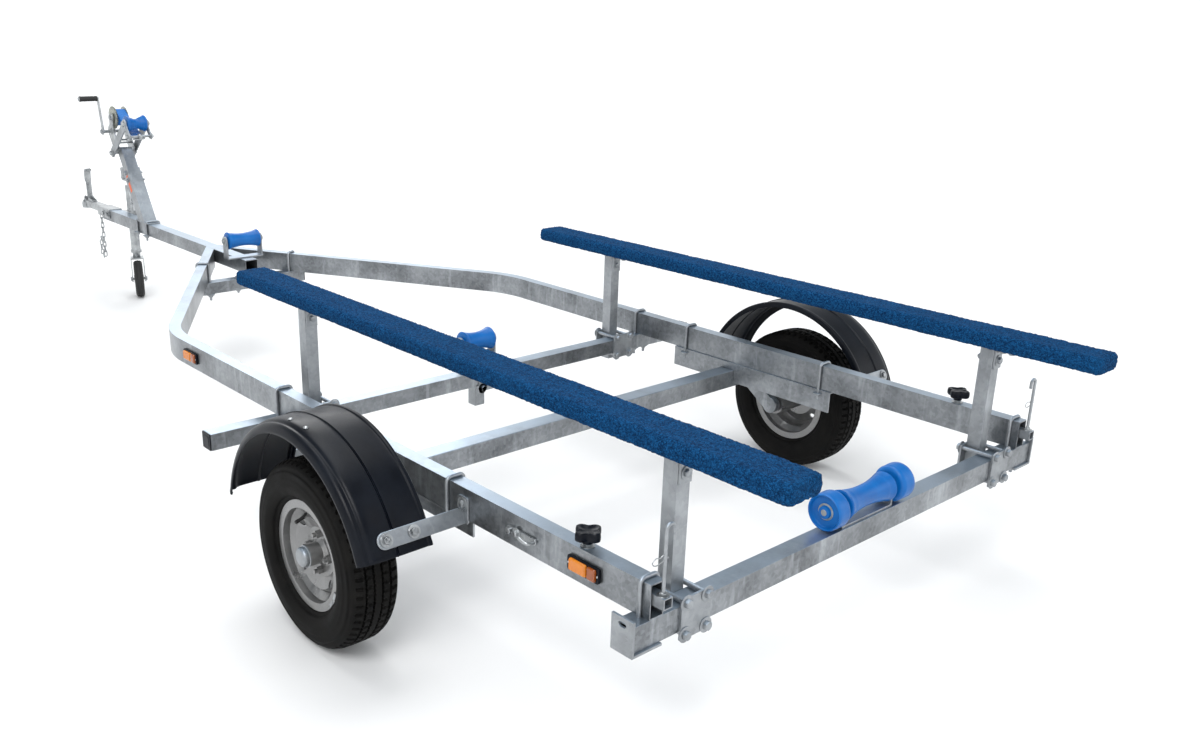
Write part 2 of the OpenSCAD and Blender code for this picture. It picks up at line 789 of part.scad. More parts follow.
module jockey_tube() {
    color(zinc) translate([jockey_x, jockey_y, jockey_tube_foot]) {
        difference() {
            cylinder(r = jockey_tube_r, h = jockey_tube_len);
            translate([0, 0, -cut]) cylinder(r = stem_r + running, h = jockey_tube_len - 20);
        }
        difference() {
            cylinder(r = jockey_tube_r + 5, h = collar_h);
            translate([0, 0, -cut]) cylinder(r = jockey_tube_r - 1, h = collar_h + 2 * cut);
        }
        // the crank on top
        translate([0, 0, jockey_tube_len]) cylinder(r = 9, h = 26);
        translate([-8, -8, jockey_tube_len + 18]) cube([90, 16, 8]);
        translate([74, 0, jockey_tube_len + 18]) cylinder(r = 8, h = 70);
    }
}

module jockey_stem() {
    stem_len = jockey_tube_len - 40;
    color(zinc) translate([jockey_x, jockey_y, fork_top + seat_gap])
        cylinder(r = stem_r, h = jockey_tube_foot - fork_top + stem_len - 10);
}

module jockey_fork() {
    cheek_w = 34;
    inside = jockey_wheel_w / 2 + 5;
    color(zinc) translate([jockey_x, jockey_y, 0]) rotate([0, 0, jockey_turn]) {
        translate([-24 - jockey_trail / 2, -inside - 4, fork_top - 6]) cube([48 + jockey_trail / 2, 2 * inside + 8, 6]);
        for (s = [-1, 1]) translate([0, s * (inside + 2) - 2, 0]) {
            translate([-jockey_trail - cheek_w / 2, 0, jockey_axle_z]) cube([cheek_w, 4, fork_top - jockey_axle_z]);
            translate([-jockey_trail, 0, jockey_axle_z]) rotate([-90, 0, 0]) cylinder(r = cheek_w / 2, h = 4);
        }
        translate([-jockey_trail, 0, jockey_axle_z]) lateral_rod(6, 2 * inside + 24);
    }
}

module jockey_wheel() {
    r = jockey_wheel_d / 2;
    w = jockey_wheel_w;
    color(rubber_black) translate([jockey_x, jockey_y, 0]) rotate([0, 0, jockey_turn])
        translate([-jockey_trail, 0, jockey_axle_z]) lateral(w) rotate_extrude($fn = 96) polygon([
            [6 + running, 0], [22, 0], [22, 10], [r - 30, 10], [r - 24, 4], [r - 10, 4],
            [r - 2, 12], [r, w / 2], [r - 2, w - 12], [r - 10, w - 4], [r - 24, w - 4],
            [r - 30, w - 10], [22, w - 10], [22, w], [6 + running, w]]);
}

// ---- Safety chain ----

link_bend = link_wire * 1.2;                // centreline radius of a link's round ends
link_inner_r = link_bend - link_wire / 2;
chain_eye_sag = link_inner_r - sqrt(link_inner_r * link_inner_r - chain_eye_wall * chain_eye_wall / 4);

module chain_link() {
    // a stadium-shaped link hanging in the XZ plane, its top at zero
    bend = link_bend;
    straight = link_pitch - 2 * link_inner_r;
    rotate([90, 0, 0]) translate([0, -bend - link_wire / 2, 0]) {
        rotate_extrude(angle = 180, $fn = 24) translate([bend, 0]) circle(d = link_wire, $fn = 16);
        translate([0, -straight, 0]) rotate([0, 0, 180])
            rotate_extrude(angle = 180, $fn = 24) translate([bend, 0]) circle(d = link_wire, $fn = 16);
        for (s = [-1, 1]) translate([s * bend, 0, 0]) rotate([90, 0, 0])
            cylinder(d = link_wire, h = straight, $fn = 16);
    }
}

module safety_chain() {
    step = link_pitch - seat_gap;
    top_z = chain_eye_z - chain_eye_r + link_wire + chain_eye_sag + seat_gap;
    color(zinc) translate([chain_x, 0, top_z]) for (i = [0 : link_count - 1])
        translate([0, 0, -i * step]) rotate([0, 0, 90 * (1 - i % 2)]) chain_link();
}

// ---- Winch ----

winch_foot_x = drawbar_nose_x - winch_foot_back;
winch_post_wall = 4;
stem_w = winch_post_w - 2 * winch_post_wall - 2 * seat_gap;
winch_up = winch_post_len + winch_stem_len;

// Places in the plane of the winch: up from the top of the post's stem, along its lean,
// and back from it, with back as a negative number
side_wall = 4;
shaft_r = 8;
pinion_up = 112;
gear_gap = gear_module * (gear_teeth + pinion_teeth) / 2;
drum_angle = 43;                                // of the drum behind the pinion, above level
drum_back = -gear_gap * cos(drum_angle);
drum_up = pinion_up + gear_gap * sin(drum_angle);
drum_core_r = 20;
flange = 3;
gear_w = 8;
strap_y = -2;                                   // middle of the strap, across the winch
drum_right = strap_y - strap_w / 2 - 1;         // inner side of the right flange
drum_left = strap_y + strap_w / 2 + 1;          // inner side of the gear
bracket_half = bow_roller_len / 2 + 3;          // inside of the bow roller's cheeks
crank_y = bracket_half + plate + 20;            // inner side of the crank's arm
crank_wall = 6;
crank_lean = 10 - post_lean;                    // of the crank's arm, from the lean of the post

// The bow roller stands behind the winch, with the strap's hook below it
bow_back = -224;
bow_up = 37;
anchor_back = -226;
anchor_up = -34;
anchor_r = 6;
hook_eye_back = anchor_back + 26;

// places its children on the leaning axis of the post, a given way up from the foot
module along_post(up) {
    translate([winch_foot_x, 0, rail_top]) rotate([0, post_lean, 0]) translate([0, 0, up]) children();
}

// the same at the top of the stem
module at_winch() {
    along_post(winch_up) children();
}

// a flat bar from one point to another, with a rounded end of radius r about each
function round_bar(from, to, r, steps = 12) =
    let (turn = atan2(to[1] - from[1], to[0] - from[0]))
    concat([for (i = [0 : steps]) from + r * [cos(turn + 90 + 180 * i / steps), sin(turn + 90 + 180 * i / steps)]],
        [for (i = [0 : steps]) to + r * [cos(turn - 90 + 180 * i / steps), sin(turn - 90 + 180 * i / steps)]]);

// extrudes an outline drawn in the X-Z plane, from y to y + thickness
module side_on(y, thickness) {
    translate([0, y + thickness, 0]) rotate([90, 0, 0]) linear_extrude(height = thickness) children();
}

module winch_post() {
    foot_len = 150;
    color(galvanised) {
        difference() {
            along_post(-winch_post_w) upright_tube(winch_post_w, winch_post_wall,
                winch_post_len + winch_post_w);
            translate([winch_foot_x - foot_len, -winch_post_w, rail_top + plate - 2 * foot_len])
                cube([2 * foot_len, 2 * winch_post_w, 2 * foot_len]);
        }
        translate([winch_foot_x - foot_len / 2, -winch_post_w / 2 - 2, rail_top])
            cube([foot_len, winch_post_w + 4, plate]);
        along_post(winch_post_len / 2) upright_tube(stem_w, winch_post_wall, winch_up - winch_post_len / 2);
    }
}

module gear(teeth, thickness, bore) {
    pitch_r = teeth * gear_module / 2;
    tip = 0.8 * gear_module;
    root = 1.1 * gear_module;
    step = 360 / teeth;
    linear_extrude(height = thickness) difference() {
        polygon([for (i = [0 : teeth - 1]) for (p = [
                [-0.30, pitch_r - root], [-0.19, pitch_r], [-0.09, pitch_r + tip],
                [0.09, pitch_r + tip], [0.19, pitch_r], [0.30, pitch_r - root]])
            [p[1] * cos((i + p[0]) * step), p[1] * sin((i + p[0]) * step)]]);
        circle(r = bore);
    }
}

module winch_frame() {
    foot_half = stem_w / 2 + 8;
    boss_r = 22;
    out = winch_w / 2;
    color(zinc) at_winch() {
        translate([-foot_half, -out, 0]) cube([2 * foot_half, 2 * out, side_wall]);
        for (y = [-out - side_wall, out]) side_on(y, side_wall) difference() {
            union() {
                translate([-foot_half, 0]) square([2 * foot_half, pinion_up]);
                translate([0, pinion_up]) circle(r = foot_half);
                translate([drum_back, drum_up]) circle(r = boss_r);
                translate([0, pinion_up]) rotate([0, 0, 180 - drum_angle]) translate([0, -boss_r])
                    square([gear_gap, 2 * boss_r]);
            }
            translate([0, pinion_up]) circle(r = shaft_r + running);
        }
        translate([drum_back, 0, drum_up]) lateral_rod(shaft_r, 2 * out + 2 * side_wall + 16);
    }
}

module winch_drum() {
    gear_r = gear_module * gear_teeth / 2;
    bore = shaft_r + running;
    color(zinc) at_winch() translate([drum_back, 0, drum_up]) {
        translate([0, drum_right - flange, 0]) rotate([-90, 0, 0]) difference() {
            union() {
                cylinder(r = gear_r, h = flange);
                cylinder(r = drum_core_r, h = flange + drum_left - drum_right + cut);
            }
            translate([0, 0, -cut]) cylinder(r = bore, h = winch_w);
        }
        translate([0, drum_left, 0]) rotate([-90, 0, 0]) rotate([0, 0, drum_angle])
            gear(gear_teeth, gear_w, bore);
    }
}

module wound_strap() {
    color(roller_blue) at_winch() translate([drum_back, strap_y - strap_w / 2, drum_up])
        rotate([-90, 0, 0]) difference() {
            cylinder(r = strap_wound_r, h = strap_w);
            translate([0, 0, -cut]) cylinder(r = drum_core_r, h = strap_w + 2 * cut);
        }
}

// The free strap runs from the back of the drum down to the hook, close to the wound strap
strap_path_r = strap_wound_r + seat_gap + strap_thickness / 2;
strap_run = norm([drum_back - hook_eye_back, drum_up - anchor_up]);
strap_free = sqrt(strap_run * strap_run - strap_path_r * strap_path_r);
strap_slope = atan2(drum_up - anchor_up, drum_back - hook_eye_back) + asin(strap_path_r / strap_run);

module winch_strap() {
    color(roller_blue) at_winch() translate([hook_eye_back, strap_y, anchor_up])
        rotate([0, -strap_slope, 0]) translate([strap_thickness, -strap_w / 2, -strap_thickness / 2])
        cube([strap_free - strap_thickness, strap_w, strap_thickness]);
}

module strap_hook() {
    // a flat eye over the strap's end and a round hook around the bracket's lower rod
    ring_r = anchor_r + seat_gap;
    color(zinc) at_winch() translate([anchor_back, strap_y, anchor_up]) {
        side_on(-8, 16) difference() {
            circle(r = ring_r + 7);
            circle(r = ring_r);
        }
        translate([ring_r + 5, -strap_w / 2 - 4, -6])
            cube([hook_eye_back - anchor_back - ring_r - 5 - seat_gap, strap_w + 8, 12]);
    }
}

module bow_roller_bracket() {
    // two flat bars beside the winch, with spacers against its plates, that carry the roller and the hook's rod
    bar_r = 22;
    lug_r = 14;
    bar_end = [32, 6];
    spacer_up = 12;
    spacer_in = winch_w / 2 + side_wall;
    color(zinc) at_winch() {
        for (y = [-bracket_half - plate, bracket_half]) side_on(y, plate) union() {
            polygon(round_bar(bar_end, [bow_back, bow_up], bar_r));
            polygon(round_bar([anchor_back, anchor_up], [anchor_back, bow_up], lug_r));
        }
        both_sides() translate([0, spacer_in, spacer_up]) rotate([-90, 0, 0])
            cylinder(r = 12, h = bracket_half - spacer_in);
        for (p = [[bow_back, bow_up, spindle_r], [anchor_back, anchor_up, anchor_r]])
            translate([p[0], 0, p[1]]) lateral_rod(p[2], 2 * bracket_half + 2 * plate + 16);
    }
}

module bow_roller() {
    // V-shaped, so that the stem of a boat centres itself
    rim = bow_roller_d / 2;
    waist = rim * 0.45;
    bore = spindle_r + running;
    lip = 8;
    color(roller_blue) at_winch() translate([bow_back, 0, bow_up]) lateral(bow_roller_len)
        rotate_extrude($fn = 72) polygon([
            [bore, 0], [rim - 3, 0], [rim, 3], [rim, lip], [waist, bow_roller_len / 2 - 5],
            [waist, bow_roller_len / 2 + 5], [rim, bow_roller_len - lip], [rim, bow_roller_len - 3],
            [rim - 3, bow_roller_len], [bore, bow_roller_len]]);
}

module winch_crank() {
    arm_w = 22;
    arm_t = crank_wall;
    color(zinc) at_winch() translate([0, 0, pinion_up]) {
        translate([0, -winch_w / 2 - side_wall - 8, 0]) rotate([-90, 0, 0])
            cylinder(r = shaft_r, h = winch_w / 2 + side_wall + 8 + crank_y + arm_t + 6);
        translate([0, drum_left - 1, 0]) rotate([-90, 0, 0])
            rotate([0, 0, drum_angle - 180 + 180 / pinion_teeth]) gear(pinion_teeth, gear_w + 2, shaft_r - cut);
        translate([0, crank_y, 0]) rotate([0, crank_lean, 0]) {
            translate([-arm_w / 2, 0, 0]) cube([arm_w, arm_t, crank_len]);
            for (z = [0, crank_len]) translate([0, 0, z]) rotate([-90, 0, 0])
                cylinder(r = arm_w / 2, h = arm_t);
            translate([0, 0, crank_len]) rotate([-90, 0, 0]) cylinder(r = 6, h = arm_t + grip_len + 6);
        }
    }
}

module crank_grip() {
    color(black_plastic) at_winch() translate([0, crank_y + crank_wall, pinion_up]) rotate([0, crank_lean, 0])
        translate([0, 1, crank_len]) rotate([-90, 0, 0]) difference() {
            cylinder(r = 14, h = grip_len);
            translate([0, 0, -cut]) cylinder(r = 6, h = grip_len + 2 * cut);
        }
}

// ---- Lights and fittings ----

knob_x = -rail_tail + knob_ahead;
arm_z = rail_top - 35;      // middle of a light arm
arm_wall = 2.5;
stud_r = 5;
guide_len = 190;
guide_inset = 45;           // from the rail's end forward to the guide

module left_guide() {
    // fills the rail's hollow around the light arm, and carries the knob's thread
    hollow_w = rail_w - 2 * rail_wall;
    hollow_h = rail_h - 2 * rail_wall;
    slide = arm_size + 2 * seat_gap;
    difference() {
        translate([-rail_tail + guide_inset, rail_y - hollow_w / 2, rail_base + rail_wall])
            cube([guide_len, hollow_w, hollow_h]);
        translate([-rail_tail + guide_inset - cut, rail_y - slide / 2, arm_z - slide / 2])
            cube([guide_len + 2 * cut, slide, slide]);
        translate([knob_x, rail_y, arm_z]) cylinder(r = stud_r + running, h = rail_h);
    }
}

module light_arm_guides() {
    color(galvanised) both_sides() left_guide();
}

module left_arm() {
    // the box tube, with an upright hooked pin for a lighting board at its end
    pin_r = 4;
    pin_h = 142;
    hook_r = 11;
    translate([-rail_tail - light_arm_out, rail_y, arm_z]) {
        tube(arm_size, arm_size, arm_wall, light_arm_len);
        translate([light_arm_out / 2, 0, arm_size / 2]) {
            cylinder(r = pin_r, h = pin_h);
            translate([0, -hook_r, pin_h]) rotate([90, 0, 90])
                rotate_extrude(angle = 180, $fn = 32) translate([hook_r, 0]) circle(r = pin_r, $fn = 24);
            translate([0, -2 * hook_r, pin_h - 14]) cylinder(r = pin_r, h = 14);
        }
    }
}

module left_light_arm() {
    color(galvanised) left_arm();
}

module right_light_arm() {
    color(galvanised) mirror([0, 1, 0]) left_arm();
}

module light_arm_knobs() {
    knob_r = 34;
    arm_top = arm_z + arm_size / 2 + seat_gap;
    color(black_plastic) both_sides() translate([knob_x, rail_y, 0]) {
        translate([0, 0, arm_top]) cylinder(r = stud_r, h = rail_top + 30 - arm_top);
        translate([0, 0, rail_top + 8]) cylinder(r = 11, h = 14);
        translate([0, 0, rail_top + 20]) for (a = [0, 90]) rotate([0, 0, a])
            translate([-knob_r, -10, 0]) cube([2 * knob_r, 20, 16]);
    }
}

module side_markers() {
    marker = [92, 18, 32];
    color("darkorange") both_sides() for (x = [-rail_tail + 190, bend_start - 90])
        translate([x - marker[0] / 2, rail_y + rail_w / 2, rail_top - rail_h / 2 - marker[2] / 2])
            cube(marker);
}

module tie_down_plates() {
    end_y = beam_len / 2;
    w = beam_depth + 12;
    h = beam_h + 22;
    slot_r = 6;
    slot_half = 5;
    color(zinc) both_sides() translate([beam_x, 0, 0]) {
        translate([-w / 2, end_y, rail_base - beam_h - plate]) difference() {
            cube([w, plate, h]);
            for (x = [w / 2 - slot_half, w / 2 + slot_half]) translate([x, -cut, h - 16]) rotate([-90, 0, 0])
                cylinder(r = slot_r, h = plate + 2 * cut);
            translate([w / 2 - slot_half, -cut, h - 16 - slot_r]) cube([2 * slot_half, plate + 2 * cut, 2 * slot_r]);
        }
        translate([-w / 2, end_y - 80, rail_base - beam_h - plate]) cube([w, 80, plate]);
    }
}

module lashing_hooks() {
    color(zinc) both_sides() translate([-535, rail_y + rail_w / 2, rail_top - rail_h / 2]) {
        translate([-48, 0, -7]) cube([96, 6, 14]);
        translate([38, 0, 0]) rotate([-90, 0, 0]) cylinder(r = 8, h = 14);
        translate([-44, 0, 0]) rotate([-90, 0, 0]) cylinder(r = 5, h = 26);
    }
}

// Moves a piece back so that the middle of the trailer's length is at zero
module placed() {
    translate([-middle_x, 0, 0]) children();
}

placed() side_rails();
placed() drawbar();
placed() front_crossmember();
placed() bunk_crossmember();
placed() rear_beam();
placed() end_caps();
placed() axle_tube();
placed() axle_hangers();
placed() trailing_arms();
placed() bunk_posts();
placed() post_clamps();
placed() bunk_brackets();
placed() bunk_boards();
placed() keel_roller_brackets();
placed() front_keel_roller();
placed() middle_keel_roller();
placed() rear_keel_roller();
placed() mudguards();
placed() mudguard_lips();
placed() mudguard_straps();
placed() left_tyre();
placed() left_rim();
placed() right_tyre();
placed() right_rim();
placed() coupling();
placed() coupling_lever();
placed() jockey_clamp();
placed() jockey_tube();
placed() jockey_stem();
placed() jockey_fork();
placed() jockey_wheel();
placed() safety_chain();
placed() winch_post();
placed() winch_frame();
placed() winch_drum();
placed() wound_strap();
placed() winch_crank();
placed() crank_grip();
placed() winch_strap();
placed() strap_hook();
placed() bow_roller_bracket();
placed() bow_roller();
placed() light_arm_guides();
placed() left_light_arm();
placed() right_light_arm();
placed() light_arm_knobs();
placed() side_markers();
placed() tie_down_plates();
placed() lashing_hooks();
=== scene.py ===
from math import acos, atan2, cos, pi, radians, sin, sqrt

import bmesh
import bpy
import numpy as np
from mathutils import Matrix, Vector, noise


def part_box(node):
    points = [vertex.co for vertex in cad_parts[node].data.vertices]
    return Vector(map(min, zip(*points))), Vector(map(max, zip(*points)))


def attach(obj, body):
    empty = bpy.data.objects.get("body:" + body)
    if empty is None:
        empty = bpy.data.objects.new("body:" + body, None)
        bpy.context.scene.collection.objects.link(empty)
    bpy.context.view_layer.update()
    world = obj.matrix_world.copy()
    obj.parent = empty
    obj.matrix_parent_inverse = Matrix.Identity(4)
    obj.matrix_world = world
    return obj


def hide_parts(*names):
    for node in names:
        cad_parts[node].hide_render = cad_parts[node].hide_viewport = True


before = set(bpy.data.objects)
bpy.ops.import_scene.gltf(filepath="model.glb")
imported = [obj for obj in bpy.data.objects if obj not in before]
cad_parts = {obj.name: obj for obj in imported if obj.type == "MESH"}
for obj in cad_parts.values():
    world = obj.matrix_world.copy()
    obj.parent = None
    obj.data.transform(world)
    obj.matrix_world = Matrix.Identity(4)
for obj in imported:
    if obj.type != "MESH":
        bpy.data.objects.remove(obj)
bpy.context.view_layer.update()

# ---------------------------------------------------------------- places
# Layout places are metres ahead of the wheel centres, to the left, and above the floor.


def span(node):
    """The low and high corners of a CAD node's box."""
    low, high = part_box(node)
    return np.array(low), np.array(high)


def middle(node):
    low, high = span(node)
    return (low + high) / 2


X, Y, Z = np.eye(3)
AXLE_X = middle("left_tyre")[0]


def at(x, y, z):
    """A layout place in the frame's own axes."""
    return np.array([AXLE_X + x, y, z])


rail_low, rail_high = span("side_rails")
RAIL_TOP, RAIL_BASE = rail_high[2], rail_low[2]
RAIL_OUT = rail_high[1]
RAIL_W = 0.04
RAIL_Y = RAIL_OUT - RAIL_W / 2
RAIL_TAIL = rail_low[0] - AXLE_X

# ---------------------------------------------------------------- camera

CAMERA_PLACE = (-3.810, 2.2106, 1.5326)
CAMERA_YAW, CAMERA_PITCH, CAMERA_ROLL = 0.7336, 0.3293, 0.0236
CAMERA_LENS, CAMERA_SENSOR = 33.42, 36.0
CAMERA_SHIFT = (0.0315, 0.0157)


def make_camera():
    """The photo's view: yaw is clockwise from +X, pitch is downwards, and roll is about the line of sight."""
    ahead = Vector((cos(CAMERA_PITCH) * cos(CAMERA_YAW),
                    -cos(CAMERA_PITCH) * sin(CAMERA_YAW), -sin(CAMERA_PITCH)))
    right = ahead.cross(Vector((0, 0, 1))).normalized()
    up = right.cross(ahead)
    c, s = cos(CAMERA_ROLL), sin(CAMERA_ROLL)
    rolled_right, rolled_up = c * right + s * up, c * up - s * right
    turn = Matrix((rolled_right, rolled_up, -ahead)).transposed()
    data = bpy.data.cameras.new("camera")
    data.lens, data.sensor_width = CAMERA_LENS, CAMERA_SENSOR
    data.shift_x, data.shift_y = CAMERA_SHIFT
    data.clip_start, data.clip_end = 0.05, 200
    camera = bpy.data.objects.new("camera", data)
    camera.matrix_world = Matrix.Translation(CAMERA_PLACE) @ turn.to_4x4()
    bpy.context.scene.collection.objects.link(camera)
    bpy.context.scene.camera = camera


make_camera()

# ---------------------------------------------------------------- materials


class Shader:
    """One procedural material, built node by node. A socket given as an input is linked."""

    def __init__(self, name):
        self.material = bpy.data.materials.new(name)
        self.material.use_nodes = True
        self.tree = self.material.node_tree
        self.bsdf = self.tree.nodes["Principled BSDF"]
        self.place = self.node("ShaderNodeTexCoord", out="Object")

    def node(self, kind, out=0, props=None, **inputs):
        """A new node's output; an input's name has _ for each space."""
        made = self.tree.nodes.new(kind)
        for key, value in (props or {}).items():
            setattr(made, key, value)
        for key, value in inputs.items():
            self.feed(made.inputs[key.replace("_", " ")], value)
        return made.outputs[out]

    def feed(self, socket, value):
        if isinstance(value, bpy.types.NodeSocket):
            self.tree.links.new(value, socket)
        else:
            socket.default_value = value

    def noise(self, scale, detail=3.0, rough=0.55, place=None, out=0):
        return self.node("ShaderNodeTexNoise", out, Vector=place or self.place, Scale=scale,
                         Detail=detail, Roughness=rough)

    def cells(self, scale, out="Distance", feature="F1", place=None, jitter=1.0):
        return self.node("ShaderNodeTexVoronoi", out, {"feature": feature},
                         Vector=place or self.place, Scale=scale, Randomness=jitter)

    def stretch(self, x, y, z, place=None):
        return self.node("ShaderNodeMapping", Vector=place or self.place, Scale=(x, y, z))

    def span(self, value, low, high, to_low, to_high):
        return self.node("ShaderNodeMapRange", Value=value, From_Min=low, From_Max=high,
                         To_Min=to_low, To_Max=to_high)

    def math(self, operation, a, b=0.0):
        return self.by_place("ShaderNodeMath", {"operation": operation}, ((0, a), (1, b)), 0)

    def mix(self, share, a, b):
        """A colour between a and b."""
        return self.by_place("ShaderNodeMix", {"data_type": "RGBA"}, ((0, share), (6, a), (7, b)), 2)

    def by_place(self, kind, props, inputs, out):
        """As node, for a node whose inputs share a name; inputs is (place in its list, value) pairs."""
        made = self.tree.nodes.new(kind)
        for key, value in props.items():
            setattr(made, key, value)
        for place, value in inputs:
            self.feed(made.inputs[place], value)
        return made.outputs[out]

    def bump(self, height, strength, distance, under=None):
        """A normal; under is the coarser normal that it is laid on."""
        more = {} if under is None else {"Normal": under}
        return self.node("ShaderNodeBump", Height=height, Strength=strength, Distance=distance, **more)

    def finish(self, **inputs):
        """Sets the surface's own inputs and gives the material."""
        for key, value in inputs.items():
            self.feed(self.bsdf.inputs[key.replace("_", " ")], value)
        return self.material


def grey(level, warm=0.0):
    return (level + warm, level, level - warm, 1.0)


def galvanised(name, dark, light, rough, metal, cell):
    """Hot-dip zinc: crystal spangle, cloudy patches, run marks and a fine crust, with a painted pale bluish
    sky reflection on upward faces.
    """
    s = Shader(name)
    crystal = s.cells(cell, out="Color")
    tone = s.node("ShaderNodeSeparateColor", Color=crystal)
    cloud = s.noise(7.0, 5.0, 0.6)
    runs = s.noise(28.0, 4.0, 0.6, place=s.stretch(1, 1, 0.16))
    fine = s.noise(420.0, 3.0, 0.6)
    share = s.math("ADD", s.math("MULTIPLY", tone, 0.12), s.math("MULTIPLY", cloud, 0.88))
    colour = s.mix(s.span(share, 0.22, 0.78, 0, 1), dark, light)
    pale = s.span(runs, 0.56, 0.74, 0, 0.45)
    colour = s.mix(pale, colour, (0.56, 0.59, 0.62, 1))
    # upward faces carry a painted pale bluish sky reflection, patchy with the cloud noise, and the others
    # stay darker
    upward_share_for_painted_sky_light = s.node("ShaderNodeSeparateXYZ", 2, Vector=s.node("ShaderNodeNewGeometry", "Normal"))
    bloom = s.math("MULTIPLY", s.span(upward_share_for_painted_sky_light, 0.35, 0.95, 0, 1), s.span(cloud, 0.25, 0.6, 0.45, 0.85))
    # the bloom mix here is painted light: a pale bluish painted sky reflection on faces that point up
    colour = s.mix(bloom, colour, (0.33, 0.41, 0.50, 1))
    roughness = s.math("ADD", s.span(tone, 0, 1, rough - 0.03, rough + 0.03),
                       s.span(fine, 0.3, 0.7, -0.04, 0.04))
    seams = s.span(s.cells(cell, feature="DISTANCE_TO_EDGE"), 0.0, 0.05, 0.0, 1.0)
    normal = s.bump(seams, 0.04, 0.0002, s.bump(fine, 0.18, 0.0003, s.bump(cloud, 0.12, 0.003)))
    return s.finish(Base_Color=colour, Metallic=metal, Roughness=roughness, Normal=normal)


def zinc_plate(name, dark, light, rough):
    """Bright electroplated steel with handling marks and a faint milky bloom."""
    s = Shader(name)
    bloom = s.noise(22.0, 5.0, 0.65)
    marks = s.noise(160.0, 4.0, 0.7, place=s.stretch(1, 1, 0.3))
    fine = s.noise(900.0, 2.0)
    colour = s.mix(s.span(bloom, 0.32, 0.68, 0, 1), dark, light)
    colour = s.mix(s.span(marks, 0.62, 0.8, 0, 0.3), colour, grey(0.33, 0.01))
    roughness = s.span(bloom, 0.3, 0.7, rough - 0.07, rough + 0.1)
    normal = s.bump(fine, 0.12, 0.0003, s.bump(marks, 0.12, 0.0005))
    return s.finish(Base_Color=colour, Metallic=0.92, Roughness=roughness, Normal=normal)


def silver_paint():
    """Metallic paint of the rims, with fine flakes, brake dust and orange peel."""
    s = Shader("silver_paint")
    flake = s.cells(2600.0, out="Color")
    tone = s.node("ShaderNodeSeparateColor", Color=flake)
    dust = s.noise(18.0, 5.0, 0.6)
    colour = s.mix(tone, grey(0.17), grey(0.28))
    colour = s.mix(s.span(dust, 0.5, 0.8, 0, 0.35), colour, (0.36, 0.34, 0.31, 1))
    peel = s.noise(260.0, 2.0)
    return s.finish(Base_Color=colour, Metallic=0.82, Roughness=s.span(dust, 0.3, 0.7, 0.26, 0.40),
                    Normal=s.bump(peel, 0.08, 0.0004), Coat_Weight=0.35, Coat_Roughness=0.12)


def carpet():
    """Dark blue loop pile: each loop is a small bump, painted lighter at its crown as a painted highlight and
    darker at its foot as painted shade between the loops.
    """
    s = Shader("bunk_carpet")
    warped = s.node("ShaderNodeVectorMath", props={"operation": "ADD"})
    warp = warped.node
    s.feed(warp.inputs[0], s.place)
    s.feed(warp.inputs[1], s.node("ShaderNodeVectorMath", props={"operation": "SCALE"},
                                  Vector=s.noise(60.0, 2.0, out=1), Scale=0.006))
    loop = s.cells(300.0, place=warped)
    tuft = s.cells(300.0, out="Color", place=warped)
    tone = s.node("ShaderNodeSeparateColor", Color=tuft)
    fibre = s.noise(1500.0, 3.0, 0.7)
    wear = s.noise(9.0, 5.0, 0.6)
    # painted light and shade: each loop's colour runs from dark at its foot, between the loops, to light at
    # its crown
    colour = s.mix(s.span(loop, 0.05, 0.62, 1, 0), (0.001, 0.018, 0.058, 1), (0.006, 0.075, 0.215, 1))
    colour = s.mix(s.span(tone, 0.4, 1.0, 0, 0.5), colour, (0.012, 0.120, 0.33, 1))
    colour = s.mix(s.span(wear, 0.55, 0.75, 0, 0.25), colour, (0.010, 0.085, 0.22, 1))
    normal = s.bump(fibre, 0.5, 0.0006, s.bump(s.span(loop, 0, 0.6, 1, 0), 0.9, 0.0022))
    return s.finish(Base_Color=colour, Roughness=0.95, Normal=normal, Specular_IOR_Level=0.08)


def plastic(name, dark, light, rough, grain=900.0, depth=0.0003, scuff=0.25, scuff_colour=None, shine=0.3):
    """Moulded plastic or rubber: soft patches, a fine grain and drawn-out scuffs."""
    s = Shader(name)
    patch = s.noise(14.0, 4.0, 0.55)
    fine = s.noise(grain, 2.0)
    lines = s.noise(90.0, 6.0, 0.75, place=s.stretch(0.25, 1, 1))
    colour = s.mix(s.span(patch, 0.3, 0.7, 0, 1), dark, light)
    worn = s.span(lines, 0.62, 0.78, 0, scuff)
    colour = s.mix(worn, colour, scuff_colour or light)
    roughness = s.math("ADD", s.span(patch, 0.3, 0.7, rough - 0.05, rough + 0.06),
                       s.math("MULTIPLY", worn, 0.4))
    normal = s.bump(fine, 0.35, depth, s.bump(lines, 0.05, 0.0006))
    return s.finish(Base_Color=colour, Roughness=roughness, Normal=normal, Specular_IOR_Level=shine)


def tyre_rubber():
    """Black rubber with a little brown dust."""
    s = Shader("tyre_rubber")
    dust = s.noise(16.0, 6.0, 0.65)
    fine = s.noise(700.0, 3.0, 0.6)
    colour = s.mix(s.span(dust, 0.35, 0.75, 0, 1), grey(0.0022), (0.0100, 0.0094, 0.0086, 1))
    normal = s.bump(fine, 0.4, 0.0005, s.bump(dust, 0.08, 0.002))
    return s.finish(Base_Color=colour, Roughness=s.span(dust, 0.3, 0.7, 0.55, 0.78), Normal=normal,
                    Specular_IOR_Level=0.09)


